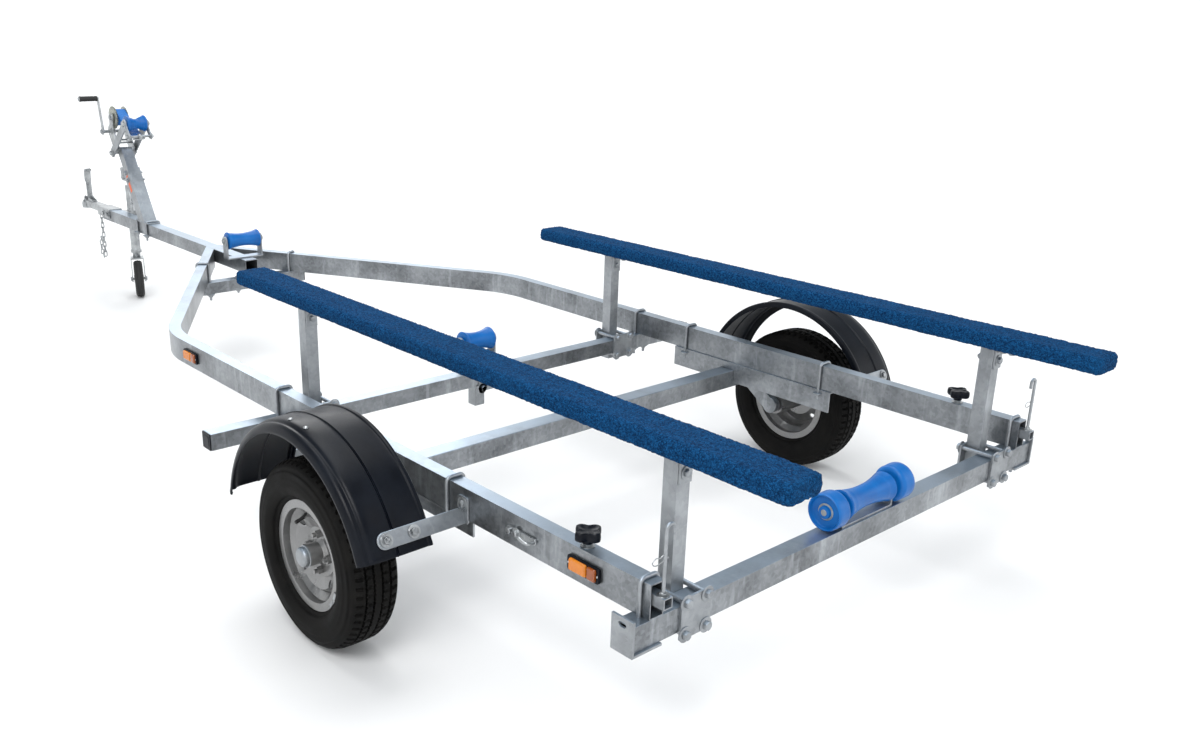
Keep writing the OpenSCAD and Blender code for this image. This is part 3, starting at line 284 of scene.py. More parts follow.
def webbing():
    """Plain-woven strap: u runs along it and v across it, both in metres."""
    s = Shader("blue_webbing")
    uv = s.node("ShaderNodeUVMap", props={"uv_map": "strap"})
    along = s.node("ShaderNodeTexWave", props={"wave_type": "BANDS", "bands_direction": "X"},
                   out="Fac", Vector=uv, Scale=150.0)
    across = s.node("ShaderNodeTexWave", props={"wave_type": "BANDS", "bands_direction": "Y"},
                    out="Fac", Vector=uv, Scale=105.0)
    weave = s.math("MULTIPLY", along, across)
    ribs = s.node("ShaderNodeTexWave", props={"wave_type": "BANDS", "bands_direction": "Y"},
                  out="Fac", Vector=uv, Scale=32.0)
    soil = s.noise(35.0, 5.0, 0.6)
    colour = s.mix(weave, (0.0, 0.095, 0.36, 1), (0.001, 0.20, 0.60, 1))
    colour = s.mix(s.span(ribs, 0.55, 1.0, 0, 0.3), colour, (0.01, 0.22, 0.66, 1))
    colour = s.mix(s.span(soil, 0.55, 0.8, 0, 0.35), colour, (0.01, 0.05, 0.2, 1))
    return s.finish(Base_Color=colour, Roughness=0.78, Sheen_Weight=0.15,
                    Normal=s.bump(weave, 0.8, 0.0006, s.bump(ribs, 0.3, 0.0006)))


def lens(name, dark, light):
    """A coloured lamp lens under a thin clear coat."""
    s = Shader(name)
    depth = s.noise(60.0, 3.0)
    grime = s.noise(240.0, 4.0)
    return s.finish(Base_Color=s.mix(depth, dark, light), Roughness=s.span(grime, 0.3, 0.7, 0.10, 0.24),
                    Transmission_Weight=0.18, Coat_Weight=0.5, Coat_Roughness=0.08,
                    Normal=s.bump(grime, 0.06, 0.0003))


def painted(name, dark, light, rough):
    """Old paint with nicks down to the metal."""
    s = Shader(name)
    patch = s.noise(30.0, 5.0, 0.6)
    nicks = s.noise(210.0, 5.0, 0.75)
    colour = s.mix(s.span(patch, 0.3, 0.7, 0, 1), dark, light)
    colour = s.mix(s.span(nicks, 0.66, 0.74, 0, 0.8), colour, grey(0.45))
    return s.finish(Base_Color=colour, Roughness=s.span(patch, 0.3, 0.7, rough - 0.06, rough + 0.08),
                    Normal=s.bump(nicks, 0.15, 0.0003))


GALV = galvanised("galvanised", (0.09, 0.096, 0.104, 1), (0.38, 0.40, 0.42, 1), 0.34, 0.88, 110.0)
GALV_BRIGHT = galvanised("galvanised_bright", (0.19, 0.20, 0.21, 1), (0.42, 0.44, 0.46, 1), 0.44, 0.85, 90.0)
ZINC = zinc_plate("zinc_plate", (0.22, 0.23, 0.24, 1), (0.48, 0.50, 0.51, 1), 0.30)
ZINC_YELLOW = zinc_plate("zinc_passivated", (0.22, 0.23, 0.20, 1), (0.42, 0.43, 0.38, 1), 0.30)
SILVER = silver_paint()
CARPET = carpet()
BLUE = plastic("blue_plastic", (0.0, 0.080, 0.30, 1), (0.001, 0.125, 0.42, 1), 0.36, 500.0, 0.0004,
               0.25, (0.02, 0.16, 0.52, 1))
BLACK = plastic("black_plastic", (0.0014, 0.0022, 0.0048, 1), (0.0036, 0.0056, 0.0100, 1), 0.36, 1100.0,
                0.0002, 0.25, (0.014, 0.018, 0.026, 1), 0.16)
BLACK_SOFT = plastic("black_rubber", grey(0.014), grey(0.028), 0.62, 600.0, 0.0004, 0.2, grey(0.05))
WHITE = plastic("white_plastic", grey(0.62), grey(0.74), 0.45, 500.0, 0.0003, 0.2, grey(0.5))
TYRE = tyre_rubber()
WEBBING = webbing()
AMBER = lens("amber_lens", (0.62, 0.17, 0.002, 1), (0.82, 0.26, 0.005, 1))
AMBER_DEEP = lens("amber_deep", (0.24, 0.046, 0.001, 1), (0.36, 0.078, 0.002, 1))
GREY_RIM = plastic("grey_rim", grey(0.10), grey(0.16), 0.45, 700.0, 0.0003, 0.2, grey(0.22))
RED = painted("red_strip", (0.62, 0.085, 0.02, 1), (0.76, 0.13, 0.035, 1), 0.45)

# ---------------------------------------------------------------- mesh tools


def mm(*pairs):
    """Pairs given in millimetres, as metres."""
    return [(a / 1000, b / 1000) for a, b in pairs]


def unit(v):
    v = np.asarray(v, float)
    return v / np.linalg.norm(v)


def ray(angle, u, v):
    """The direction at an angle from u towards v."""
    return cos(angle) * u + sin(angle) * v


def frame_of(axis, hint=(0, 0, 1)):
    """Rows are two directions across axis and then axis itself."""
    w = unit(axis)
    hint = np.asarray(hint, float)
    if abs(w @ unit(hint)) > 0.98:
        hint = np.array([1.0, 0, 0]) if abs(w[0]) < 0.9 else np.array([0, 1.0, 0])
    u = unit(hint - (hint @ w) * w)
    return np.array([u, np.cross(w, u), w])


WASHER_T = 0.002
BOLT_R = 0.005
HEX_POINTS = 24
THREAD_PITCH = 0.00175


class Shape:
    """Collects vertices and faces of several solids that make one piece."""

    def __init__(self):
        self.verts, self.faces = [], []
        self.count = 0

    def add(self, verts, faces):
        """Another solid, whose faces count its own vertices from 0."""
        verts = np.asarray(verts, float)
        self.verts.append(verts)
        self.faces += [[i + self.count for i in f] for f in faces]
        self.count += len(verts)
        return self

    def rings(self, rings, closed=False, caps=True):
        """Joins rings of equal length in turn; closed joins the last to the first."""
        rings = [np.asarray(r, float) for r in rings]
        n, m = len(rings[0]), len(rings)
        faces = []
        for i in range(m if closed else m - 1):
            a, b = i * n, ((i + 1) % m) * n
            faces += [[a + j, a + (j + 1) % n, b + (j + 1) % n, b + j] for j in range(n)]
        if caps and not closed:
            faces += [list(range(n))[::-1], [(m - 1) * n + j for j in range(n)]]
        return self.add(np.vstack(rings), faces)

    def lathe(self, profile, place, axis, steps=32, hint=(0, 0, 1), closed=False):
        """profile is (radius, distance along axis) pairs; its ends are capped, or joined if it is closed."""
        u, v, w = frame_of(axis, hint)
        place = np.asarray(place, float)
        turn = [2 * pi * i / steps for i in range(steps)]
        rings = [[place + w * h + r * ray(a, u, v) for a in turn] for r, h in profile]
        return self.rings(rings, closed)

    def hollow(self, profile, place, axis, steps=32, hint=(0, 0, 1)):
        """As lathe, from a closed outline that doesn't touch the axis."""
        return self.lathe(profile, place, axis, steps, hint, closed=True)

    def rod(self, a, b, r, steps=16, edge=0.0):
        """A round bar from a to b with chamfered ends."""
        a, b = np.asarray(a, float), np.asarray(b, float)
        length = np.linalg.norm(b - a)
        edge = edge or min(r * 0.15, length * 0.2)
        return self.lathe([(r - edge, 0), (r, edge), (r, length - edge), (r - edge, length)], a, b - a,
                          steps)

    def prism(self, outline, place, axes, depth, edge=0.0):
        """outline is in the plane of axes[0] and axes[1]; it is pushed along axes[2] by depth."""
        u, v, w = (np.asarray(a, float) for a in axes)
        place = np.asarray(place, float)
        pts = np.asarray(outline, float)
        if np.sum(pts[:, 0] * np.roll(pts[:, 1], -1) - np.roll(pts[:, 0], -1) * pts[:, 1]) < 0:
            pts = pts[::-1]
        inner = shrink(pts, edge) if edge else pts

        def ring(points, d):
            return [place + p[0] * u + p[1] * v + d * w for p in points]
        if edge:
            return self.rings([ring(inner, 0), ring(pts, edge), ring(pts, depth - edge), ring(inner, depth)])
        return self.rings([ring(pts, 0), ring(pts, depth)])

    def plate(self, centre, size, axes=((1, 0, 0), (0, 1, 0), (0, 0, 1)), corner=0.004, edge=0.0008):
        """A flat bar or plate: size is its two sides and its thickness, centred on centre."""
        w, h, t = size
        origin = np.asarray(centre, float) - np.asarray(axes[2], float) * t / 2
        return self.prism(rounded(w, h, corner), origin, axes, t, min(edge, t * 0.3))

    def sweep(self, path, section, hint=(0, 0, 1), caps=True, closed=False):
        """Moves a closed section of (across, up) pairs along a path without twisting it."""
        path = np.asarray(path, float)
        rings, up = [], None
        count = len(path)
        for i, p in enumerate(path):
            ahead = path[(i + 1) % count] if closed or i + 1 < count else path[i]
            behind = path[i - 1] if closed or i > 0 else path[i]
            t = unit(ahead - behind)
            ref = np.asarray(hint, float) if up is None else up
            side = np.cross(ref, t)
            if np.linalg.norm(side) < 1e-6:
                side = np.cross((1.0, 0.3, 0.2), t)
            side = unit(side)
            up = np.cross(t, side)
            rings.append([p + s[0] * side + s[1] * up for s in section])
        return self.rings(rings, closed=closed, caps=caps)

    def tube(self, path, r, steps=12, caps=True, closed=False):
        section = [(r * cos(a), r * sin(a)) for a in np.linspace(0, 2 * pi, steps, endpoint=False)]
        return self.sweep(path, section, caps=caps, closed=closed)

    def hexagon(self, place, axis, across, height):
        """A hex head with chamfered corners, standing on place."""
        u, v, w = frame_of(axis)
        place = np.asarray(place, float)
        corner, chamfered = across / sqrt(3), across * 0.459
        rings = []
        for h, most in ((0, corner), (height * 0.86, corner), (height, chamfered)):
            ring = []
            for a in np.arange(HEX_POINTS) * 2 * pi / HEX_POINTS:
                flat = corner * cos(pi / 6) / cos(a % (pi / 3) - pi / 6)
                ring.append(place + w * h + min(flat, most) * ray(a, u, v))
            rings.append(ring)
        return self.rings(rings)

    def nut(self, place, axis, across, height):
        """A hexagon on its washer, standing on place."""
        inner, outer = across * 0.92, across * 0.95
        self.lathe([(inner, 0), (outer, 0.0004), (outer, 0.0016), (inner, WASHER_T)], place, axis, 28)
        return self.hexagon(place + unit(axis) * WASHER_T, axis, across, height)

    def thread(self, place, axis, r, length):
        """The end of a bolt, with turned ridges."""
        pitch = THREAD_PITCH
        turns = max(2, int(length / pitch))
        line = [(r * 0.8, 0)]
        for i in range(turns):
            line += [(r, (i + 0.3) * pitch), (r, (i + 0.5) * pitch), (r * 0.88, (i + 0.9) * pitch)]
        line += [(r * 0.7, turns * pitch + 0.0008)]
        return self.lathe(line, place, axis, 14)

    def bolt(self, head, tip, r=BOLT_R, nut_at=None):
        """A bolt from under its head to its tip, with a nut and washers."""
        head, tip = np.asarray(head, float), np.asarray(tip, float)
        w = unit(tip - head)
        across, nut_t = r * 3.4, r * 1.6
        self.nut(head, -w, across, r * 1.3)
        self.rod(head, tip - w * r * 0.3, r * 0.94, 14)
        if nut_at is not None:
            place = head + w * nut_at
            self.nut(place, w, across, nut_t)
            out = np.linalg.norm(tip - place) - nut_t - WASHER_T
            if out > 0.003:
                self.thread(place + w * (nut_t + WASHER_T), w, r, out)
        return self


def shrink(pts, by):
    """Moves each side of an anticlockwise outline inwards."""
    prev, nxt = np.roll(pts, 1, 0), np.roll(pts, -1, 0)
    a, b = pts - prev, nxt - pts
    na = np.stack([-a[:, 1], a[:, 0]], 1) / np.maximum(np.linalg.norm(a, axis=1), 1e-9)[:, None]
    nb = np.stack([-b[:, 1], b[:, 0]], 1) / np.maximum(np.linalg.norm(b, axis=1), 1e-9)[:, None]
    mid = na + nb
    scale = by / np.maximum((mid * na).sum(1), 0.3)
    return pts + mid * scale[:, None]


def rounded(w, h, r, steps=5):
    """A rectangle with round corners, about its middle."""
    r = min(r, w / 2 - 1e-5, h / 2 - 1e-5)
    pts = []
    for k, (sx, sy) in enumerate(((1, 1), (-1, 1), (-1, -1), (1, -1))):
        for i in range(steps + 1):
            a = radians(90 * k + 90 * i / steps)
            pts.append((sx * (w / 2 - r) + r * cos(a), sy * (h / 2 - r) + r * sin(a)))
    return np.array(pts)


def capsule(a, b, r, steps=14):
    """A flat bar's outline from a to b, with round ends."""
    a, b = np.asarray(a, float), np.asarray(b, float)
    base = atan2(*(b - a)[::-1])
    ends = [(b, base - pi / 2), (a, base + pi / 2)]
    return np.array([p + r * np.array([cos(s + pi * i / steps), sin(s + pi * i / steps)])
                     for p, s in ends for i in range(steps + 1)])


def arc(centre, r, start, end, u, v, steps=12):
    """Points on an arc, angles in degrees from u towards v."""
    centre, u, v = (np.asarray(a, float) for a in (centre, u, v))
    return [centre + r * ray(a, u, v) for a in np.radians(np.linspace(start, end, steps + 1))]


def smooth_line(points, steps=6):
    """A line that rounds its given points by Catmull-Rom."""
    p = [np.asarray(q, float) for q in points]
    p = [2 * p[0] - p[1]] + p + [2 * p[-1] - p[-2]]
    out = []
    for i in range(1, len(p) - 2):
        for k in range(steps):
            t = k / steps
            out.append(0.5 * (2 * p[i] + (p[i + 1] - p[i - 1]) * t
                              + (2 * p[i - 1] - 5 * p[i] + 4 * p[i + 1] - p[i + 2]) * t * t
                              + (3 * p[i] - p[i - 1] - 3 * p[i + 1] + p[i + 2]) * t ** 3))
    return out + [p[-2]]


def make(name, shape, material, body="frame", replaces=(), angle=38.0, uv=None):
    """Turns a Shape into a piece that rides on a body."""
    mesh = bpy.data.meshes.new(name)
    mesh.from_pydata([tuple(v) for v in np.vstack(shape.verts)], [], shape.faces)
    mesh.validate()
    bm = bmesh.new()
    bm.from_mesh(mesh)
    bmesh.ops.recalc_face_normals(bm, faces=bm.faces)
    bm.to_mesh(mesh)
    bm.free()
    if uv is not None:
        layer = mesh.uv_layers.new(name="strap")
        for loop in mesh.loops:
            layer.data[loop.index].uv = uv[loop.vertex_index]
    mesh.shade_smooth()
    mesh.set_sharp_from_angle(angle=radians(angle))
    mesh.materials.append(material)
    piece = bpy.data.objects.new(name, mesh)
    bpy.context.scene.collection.objects.link(piece)
    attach(piece, body)
    if replaces:
        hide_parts(*replaces)
    return piece


def mirrored(shape):
    """The same solids on the other side of the trailer, added to the shape."""
    faces = [f[::-1] for f in shape.faces]
    return shape.add(np.vstack(shape.verts) * (1, -1, 1), faces)


def dress(node, material, edge, angle=32.0):
    """A CAD node keeps its shape and gets a finish, and rounded edges where edge is given."""
    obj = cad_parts[node]
    obj.data.materials.clear()
    obj.data.materials.append(material)
    if edge:
        weld = obj.modifiers.new("weld", "WELD")
        weld.merge_threshold = 0.00002
        flat = obj.modifiers.new("flat", "DECIMATE")
        flat.decimate_type = "DISSOLVE"
        flat.angle_limit = radians(0.6)
        bevel = obj.modifiers.new("bevel", "BEVEL")
        bevel.width, bevel.segments = edge, 2
        bevel.limit_method, bevel.angle_limit = "ANGLE", radians(angle)
        bevel.use_clamp_overlap = True
        bevel.harden_normals = True


# ---------------------------------------------------------------- CAD nodes that keep their shape

for node, material, edge in (
        ("side_rails", GALV, 0.0035), ("drawbar", GALV, 0.005), ("front_crossmember", GALV, 0.0035),
        ("bunk_crossmember", GALV, 0.0035), ("rear_beam", GALV, 0.0035), ("axle_tube", GALV, 0.005),
        ("axle_hangers", GALV, 0.0015), ("trailing_arms", GALV, 0.003), ("bunk_posts", GALV_BRIGHT, 0.0025),
        ("light_arm_guides", GALV, 0.0008), ("winch_post", GALV_BRIGHT, 0.003)):
    dress(node, material, edge)
for node, material, edge in (
        ("post_clamps", GALV_BRIGHT, 0.001), ("bunk_brackets", GALV_BRIGHT, 0.001),
        ("keel_roller_brackets", GALV_BRIGHT, 0.001), ("mudguard_straps", GALV_BRIGHT, 0.0012),
        ("coupling", ZINC, 0.002), ("jockey_clamp", ZINC, 0.002), ("jockey_tube", ZINC, 0.0006),
        ("jockey_stem", ZINC, 0.0006), ("jockey_fork", ZINC, 0.001), ("winch_frame", ZINC, 0.0008),
        ("winch_drum", ZINC_YELLOW, 0.0004), ("winch_crank", ZINC, 0.0008), ("strap_hook", ZINC, 0.001),
        ("bow_roller_bracket", GALV_BRIGHT, 0.001), ("left_light_arm", GALV_BRIGHT, 0.001),
        ("right_light_arm", GALV_BRIGHT, 0.001), ("tie_down_plates", GALV_BRIGHT, 0.0012),
        ("safety_chain", ZINC, 0.0)):
    dress(node, material, edge)
for node in ("left_rim", "right_rim"):
    dress(node, SILVER, 0.0008)

# ---------------------------------------------------------------- wheels

TREAD_PITCHES = 62
TREAD_SWING = 0.0016
# each station's share of a pitch, and whether the shoulders are cut there
TREAD_STATIONS = ((0.0, False), (0.34, False), (0.50, False), (0.72, True), (0.86, True))
VALVE_R, WEIGHT_R = 0.097, 0.1405


def tyre_section(shift, sipe):
    """A tyre's section as (radius, offset); shift moves the grooves, and sipe cuts the shoulders."""
    wall = smooth_line([(0.1285, 0.0475), (0.143, 0.0475), (0.1475, 0.0535), (0.1545, 0.0565),
                        (0.158, 0.0640),
                        (0.176, 0.0718), (0.190, 0.0722), (0.205, 0.0700), (0.2165, 0.0690), (0.2205,
                                                                                              0.0655),
                        (0.229, 0.0625), (0.2350, 0.0570)], 4)
    ridge = [(r, h + (0.0009 if 0.196 < r < 0.200 or 0.163 < r < 0.166 else 0.0)) for r, h in wall]
    cut = 0.0065 if sipe else 0.0
    tread = [(0.2385 - cut, 0.0525), (0.2408 - cut, 0.0480), (0.2422 - cut * 0.9, 0.0400)]
    for g in (0.0335, 0.0115):
        s = shift if g > 0.02 else -shift
        top = 0.2450 - 0.9 * g * g
        tread += [(top, g + 0.0034 + s), (top - 0.007, g + 0.0022 + s), (top - 0.007, g - 0.0022 + s),
                  (top, g - 0.0034 + s)]
        if g > 0.02:
            tread += [(0.2446 - cut * 0.7, 0.0235), (0.2448 - cut * 0.7, 0.0190)]
    middle_rib = mm((245, 4), (245, -4))
    other = [(r,
              -h + 2 * (shift if abs(h) > 0.022 else -shift) * (1 if r < 0.2449 and abs(h) < 0.038 else 0))
             for r, h in tread[::-1]]
    outside = ridge + tread + middle_rib + other + [(r, -h) for r, h in ridge[::-1]]
    inside = mm((129, -36), (139, -35), (177, -63.5), (221, -53.5), (229, -43.5), (229, 43.5), (221, 53.5),
                (177, 63.5), (139, 35), (129, 36))
    return outside + inside


def make_tyre(node, body):
    """The tread's grooves zigzag, and its shoulders are cut once in each pitch."""
    centre = middle(node)
    sections = []
    for share, sipe in TREAD_STATIONS:
        zigzag = 1 - abs(2 * ((2 * share) % 1) - 1)
        sections.append((share, tyre_section(TREAD_SWING * (2 * zigzag - 1), sipe)))
    rings = []
    for i in range(TREAD_PITCHES):
        for share, section in sections:
            a = 2 * pi * (i + share) / TREAD_PITCHES
            out = ray(a, X, Z)
            rings.append([centre + r * out + h * Y for r, h in section])
    make(node + "_tread", Shape().rings(rings, closed=True), TYRE, body, (node,), angle=32)


def wheel_details(node, body, side):
    """The dust cap and its lip, the valve, and balance weights clipped on the flange."""
    centre = middle(node.replace("rim", "tyre"))
    out = Y * side
    cap = Shape().lathe(mm((26.5, 0), (28.5, 0.8), (28.5, 3), (26.2, 4.2), (25.8, 12), (24, 16), (20, 18.8),
                           (12, 20.3), (0.3, 20.7)),
                        centre + out * 0.054, out, 40)
    make(node + "_dust_cap", cap, GALV_BRIGHT, body)
    away = unit((0.5, 0, 0.86))
    valve = Shape().lathe([(0.0075, 0), (0.0080, 0.002), (0.0062, 0.005), (0.0052, 0.010), (0.0040, 0.024),
                           (0.0043, 0.0245), (0.0048, 0.0255), (0.0048, 0.0360), (0.0038, 0.0372), (0.0003,
                                                                                                    0.0374)],
                          centre + VALVE_R * away + out * 0.020, unit(out * 0.9 - away * 0.25), 20)
    make(node + "_valve", valve, BLACK_SOFT, body)
    weights = Shape()
    for start in (200, 214):
        line = arc(centre + out * 0.0515, WEIGHT_R, start, start + 9, X, Z, 6)
        weights.sweep(line, rounded(0.010, 0.006, 0.002, 2), hint=out)
    make(node + "_weights", weights, ZINC, body)


for side, name in ((1, "left"), (-1, "right")):
    make_tyre(name + "_tyre", name + "_wheel")
    wheel_details(name + "_rim", name + "_wheel", side)

# ---------------------------------------------------------------- mudguards

GUARD_HIGH = span("mudguards")[1]
GUARD_R = 0.350
GUARD_ANGLES = (12.0, 161.0)
GUARD_W = 0.190
GUARD_Y = GUARD_HIGH[1] - GUARD_W
GUARD_SKIN = 0.004
GUARD_CENTRE = np.array([AXLE_X, GUARD_Y, middle("left_tyre")[2]])


def guard_section(flare):
    """(offset across, height over the inner radius) of the skin, closed; flare thickens the rolled ends."""
    top = smooth_line(mm((0.8, -12), (0.8, 1), (3, 5.6), (7.5, 6.8), (12.5, 6), (15, 3.6), (22, 3.2),
                         (55, 3.8), (90.5, 4)), 3)
    top += smooth_line([(0.0930, 0.0040), (0.0950, 0.0014), (0.0970, 0.0040), (0.1000, 0.0041),
                        (0.135, 0.0038), (0.153, 0.0026),
                        (0.1620, 0.0000), (0.1672, -0.0042), (0.1705, -0.0052), (0.1750, -0.0050), (0.1805,
                                                                                                    -0.0078),
                        (0.1850, -0.0130), (0.1880, -0.0190), (0.1896, -0.0240), (0.1893, -0.0290)], 4)
    line = np.array(top) + (0, flare)
    skin = 0.0030 + flare * 1.6
    ahead = np.roll(line, -1, 0) - np.roll(line, 1, 0)
    ahead[0], ahead[-1] = line[1] - line[0], line[-1] - line[-2]
    normal = np.stack([-ahead[:, 1], ahead[:, 0]], 1)
    normal /= np.linalg.norm(normal, axis=1)[:, None]
    return np.vstack([line, (line - normal * skin)[::-1]])


def make_mudguards():
    """The skins, with closer rings near both ends, where the flare makes a rolled edge."""
    start, end = GUARD_ANGLES
    near_end = [0, 0.25, 0.6, 1.2, 1.6]
    angles = [start + d for d in near_end] + list(np.linspace(start + 2.2, end - 2.2, 74))
    angles += [end - d for d in near_end[::-1]]
    rings = []
    for a in angles:
        near = min(a - start, end - a)
        flare = 0.0020 * sqrt(max(0.0, 1 - abs(near - 0.8) / 0.9)) if near < 1.7 else 0.0
        out = ray(radians(a), X, Z)
        rings.append([GUARD_CENTRE + (GUARD_R + h) * out + t * Y for t, h in guard_section(flare)])
    make("mudguard_skins", mirrored(Shape().rings(rings)), BLACK, "frame", ("mudguards", "mudguard_lips"),
         angle=42)


def guard_point(angle, across, above=0.0):
    """A point over the left guard's outer face, and the direction away from the wheel there."""
    out = ray(radians(angle), X, Z)
    return GUARD_CENTRE + across * Y + (GUARD_R + GUARD_SKIN + above) * out, out


make_mudguards()

# ---------------------------------------------------------------- bunks


BUNK_W = 0.112
STAPLES = 36


def carpet_section(width, height, step=0.0052):
    """The carpet's section with a point about every step, so that each loop of the pile can move."""
    corners = rounded(width - 0.002, height - 0.002, 0.015, 6)
    section = []
    for a, b in zip(corners, np.roll(corners, -1, 0)):
        n = max(1, int(round(np.linalg.norm(b - a) / step)))
        section += [a + (b - a) * k / n for k in range(n)]
    return section


def make_bunk(name, side):
    """A board wrapped in loop-pile carpet, folded at its ends and stapled beneath."""
    low, high = span("bunk_boards")
    half_w, half_h = BUNK_W / 2, (high[2] - low[2]) / 2
    y, z = side * (high[1] - half_w), (low[2] + high[2]) / 2
    ends = ((0.0003, 0.02), (0.0004, 0.3), (0.0008, 0.6), (0.0022, 0.80), (0.0050, 0.90), (0.0095, 0.965))
    stations = [(low[0] + d, k) for d, k in ends]
    stations += [(x, 1.0) for x in np.linspace(low[0] + 0.0145, high[0] - 0.0145, 400)]
    stations += [(high[0] - d, k) for d, k in ends[::-1]]
    section = carpet_section(BUNK_W, 2 * half_h)
    rings = []
    for x, k in stations:
        sign = 1 if x > (low[0] + high[0]) / 2 else -1
        ring = []
        for t, h in section:
            p = Vector((x, y + t * k, z + h * k))
            loop = noise.cell(p * 215.0) * 0.0011 + noise.noise(p * 190.0) * 0.0007
            seam = -0.0022 if h < 0.004 - half_h and abs(t) < 0.003 else 0.0
            grow = noise.noise(p * 9.0) * 0.0008 + loop + seam
            q = p + Vector((0, t / half_w, h / half_h)).normalized() * grow * k
            if k < 1:
                fold = -0.0016 if abs(abs(t) / half_w - abs(h) / half_h) < 0.12 else 0.0
                q.x += sign * (loop * 0.6 + fold - 0.001)
            q.x += noise.noise(p * 170.0 + Vector((7, 3, 1))) * 0.0006
            q.x = min(max(q.x, low[0] - 0.001), high[0] + 0.001)
            ring.append(q)
        rings.append(ring)
    piece = make(name, Shape().rings(rings), CARPET, "frame", ("bunk_boards",), angle=80)
    staples = Shape()
    for x in np.linspace(low[0] + 0.05, high[0] - 0.05, STAPLES):
        for s in (-1, 1):
            a = np.array([x - 0.005, y + s * 0.009, low[2] - 0.0006])
            staples.tube([a + Z * 0.004, a, a + X * 0.010, a + X * 0.010 + Z * 0.004], 0.0006, 6)
    return staples


staples = make_bunk("left_bunk_carpet", 1)
other = make_bunk("right_bunk_carpet", -1)
staples.add(np.vstack(other.verts), other.faces)
make("bunk_staples", staples, ZINC)

# ---------------------------------------------------------------- rollers

BORE = 0.0081
ROLLER_STEPS = 72
KEEL_RIM, KEEL_WAIST, REAR_WAIST = 0.038, 0.028, 0.0265
CUP_Y = 0.109


def with_bore(line):
    """A closed outline: the roller's own line, joined along its bore."""
    return [(BORE, line[0][1])] + list(line) + [(BORE, line[-1][1])]


def make_roller(name, node, body, profile):
    """profile is (radius, offset from the middle), from one end to the other, without its bore."""
    shape = Shape().hollow(with_bore(profile), middle(node), Y, ROLLER_STEPS)
    make(name, shape, BLUE, body, (node,), angle=40)


def hourglass(length, rim, waist, steps=26):
    """A keel roller's line, with a shallow ring near each rim."""
    half = length / 2
    line = [(0.0165, -half), (0.0165, -half + 0.002), (rim - 0.006, -half + 0.002),
            (rim - 0.002, -half + 0.0028),
            (rim, -half + 0.0052)]
    ends = [(r, -h) for r, h in line[::-1]]
    for i in range(1, steps):
        t = 2 * i / steps - 1
        ring = 0.0014 if abs(abs(t) - 0.84) < 0.05 else 0
        line.append((waist + (rim - waist) * abs(t) ** 2.1 - ring, t * (half - 0.006)))
    return line + ends


for place, length in (("front", 0.150), ("middle", 0.120)):
    make_roller(place + "_keel_roller_moulding", place + "_keel_roller", place + "_roller",
                hourglass(length, KEEL_RIM, KEEL_WAIST))


def make_rear_roller():
    """The middle roller and its two domed end cups turn on one spindle."""
    centre = middle("rear_keel_roller")
    shape = Shape().hollow(with_bore(hourglass(0.190, KEEL_RIM, REAR_WAIST)), centre, Y, ROLLER_STEPS)
    cup = [(BORE, 0.0005), (0.0300, 0.0005)]
    cup += [(0.0335 + 0.0130 * sin(a), 0.0135 - 0.0130 * cos(a)) for a in np.radians(np.arange(0, 91, 10))]
    cup += [(0.0462, 0.0300), (0.0466, 0.0340), (0.0466, 0.0440), (0.0458, 0.0478), (0.0438, 0.0498),
            (0.0418, 0.0494), (0.0402, 0.0470), (0.0396, 0.0425), (0.0375, 0.0402), (0.0180, 0.0402),
            (0.0160, 0.0425), (0.0150, 0.0490), (0.0125, 0.0495), (BORE, 0.0495)]
    for side in (1, -1):
        shape.hollow(cup, centre + Y * side * CUP_Y, Y * side, ROLLER_STEPS)
    make("rear_keel_roller_moulding", shape, BLUE, "rear_roller", ("rear_keel_roller",), angle=40)


make_rear_roller()

LEAN = radians(32.0)
LEAN_BACK, LEAN_UP = ray(LEAN, X, -Z), ray(LEAN, Z, X)
POST_X, STEM_TOP = 3.400, 0.400
POST_FOOT = at(POST_X, 0, RAIL_TOP)
BOW_BACK, BOW_UP = -0.224, 0.037
BOW_END = 0.048


def winch_at(back, y, up):
    """A place in the leaning post's plane: negative back is rearwards, and up is from the stem's top."""
    return POST_FOOT + back * LEAN_BACK + y * Y + (up + STEM_TOP) * LEAN_UP


def make_bow_roller():
    """A V with a flat rim at each side, and three shallow grooves in each flank."""
    bow = [(0.0165, -BOW_END), (0.036, -BOW_END), (0.0392, -0.0472), (0.040, -0.0450), (0.040, -0.0405),
           (0.0392, -0.0392)]
    for i in range(9):
        groove = 0.0008 if i % 3 == 1 else 0
        bow.append((0.0380 - 0.0135 * (i + 0.3) / 9 - groove, -0.0375 + 0.0320 * i / 9))
    bow += mm((24, -4), (23.7, 0))
    bow += [(r, -h) for r, h in bow[:-1][::-1]]
    shape = Shape().hollow(with_bore(bow), winch_at(BOW_BACK, 0, BOW_UP), Y, ROLLER_STEPS, hint=LEAN_UP)
    make("bow_roller_moulding", shape, BLUE, "bow_roller_body", ("bow_roller",), angle=40)


make_bow_roller()

# ---------------------------------------------------------------- winch strap, crank and grip

DRUM_BACK, DRUM_UP = -0.05266, 0.16110
PINION_UP = 0.112
# half distances across: faces of the winch's plates, the bow bracket's bars, and the post
PLATE_Y, BRACKET_Y, POST_SIDE = 0.0411, 0.0571, 0.0332
STRAP_Y, STRAP_W, STRAP_T = -0.002, 0.050, 0.0024
STRAP_TURNS, STRAP_COLUMNS = 8.6, 9
ROLL_INSIDE, ROLL_OUTSIDE = 0.0212, 0.0408


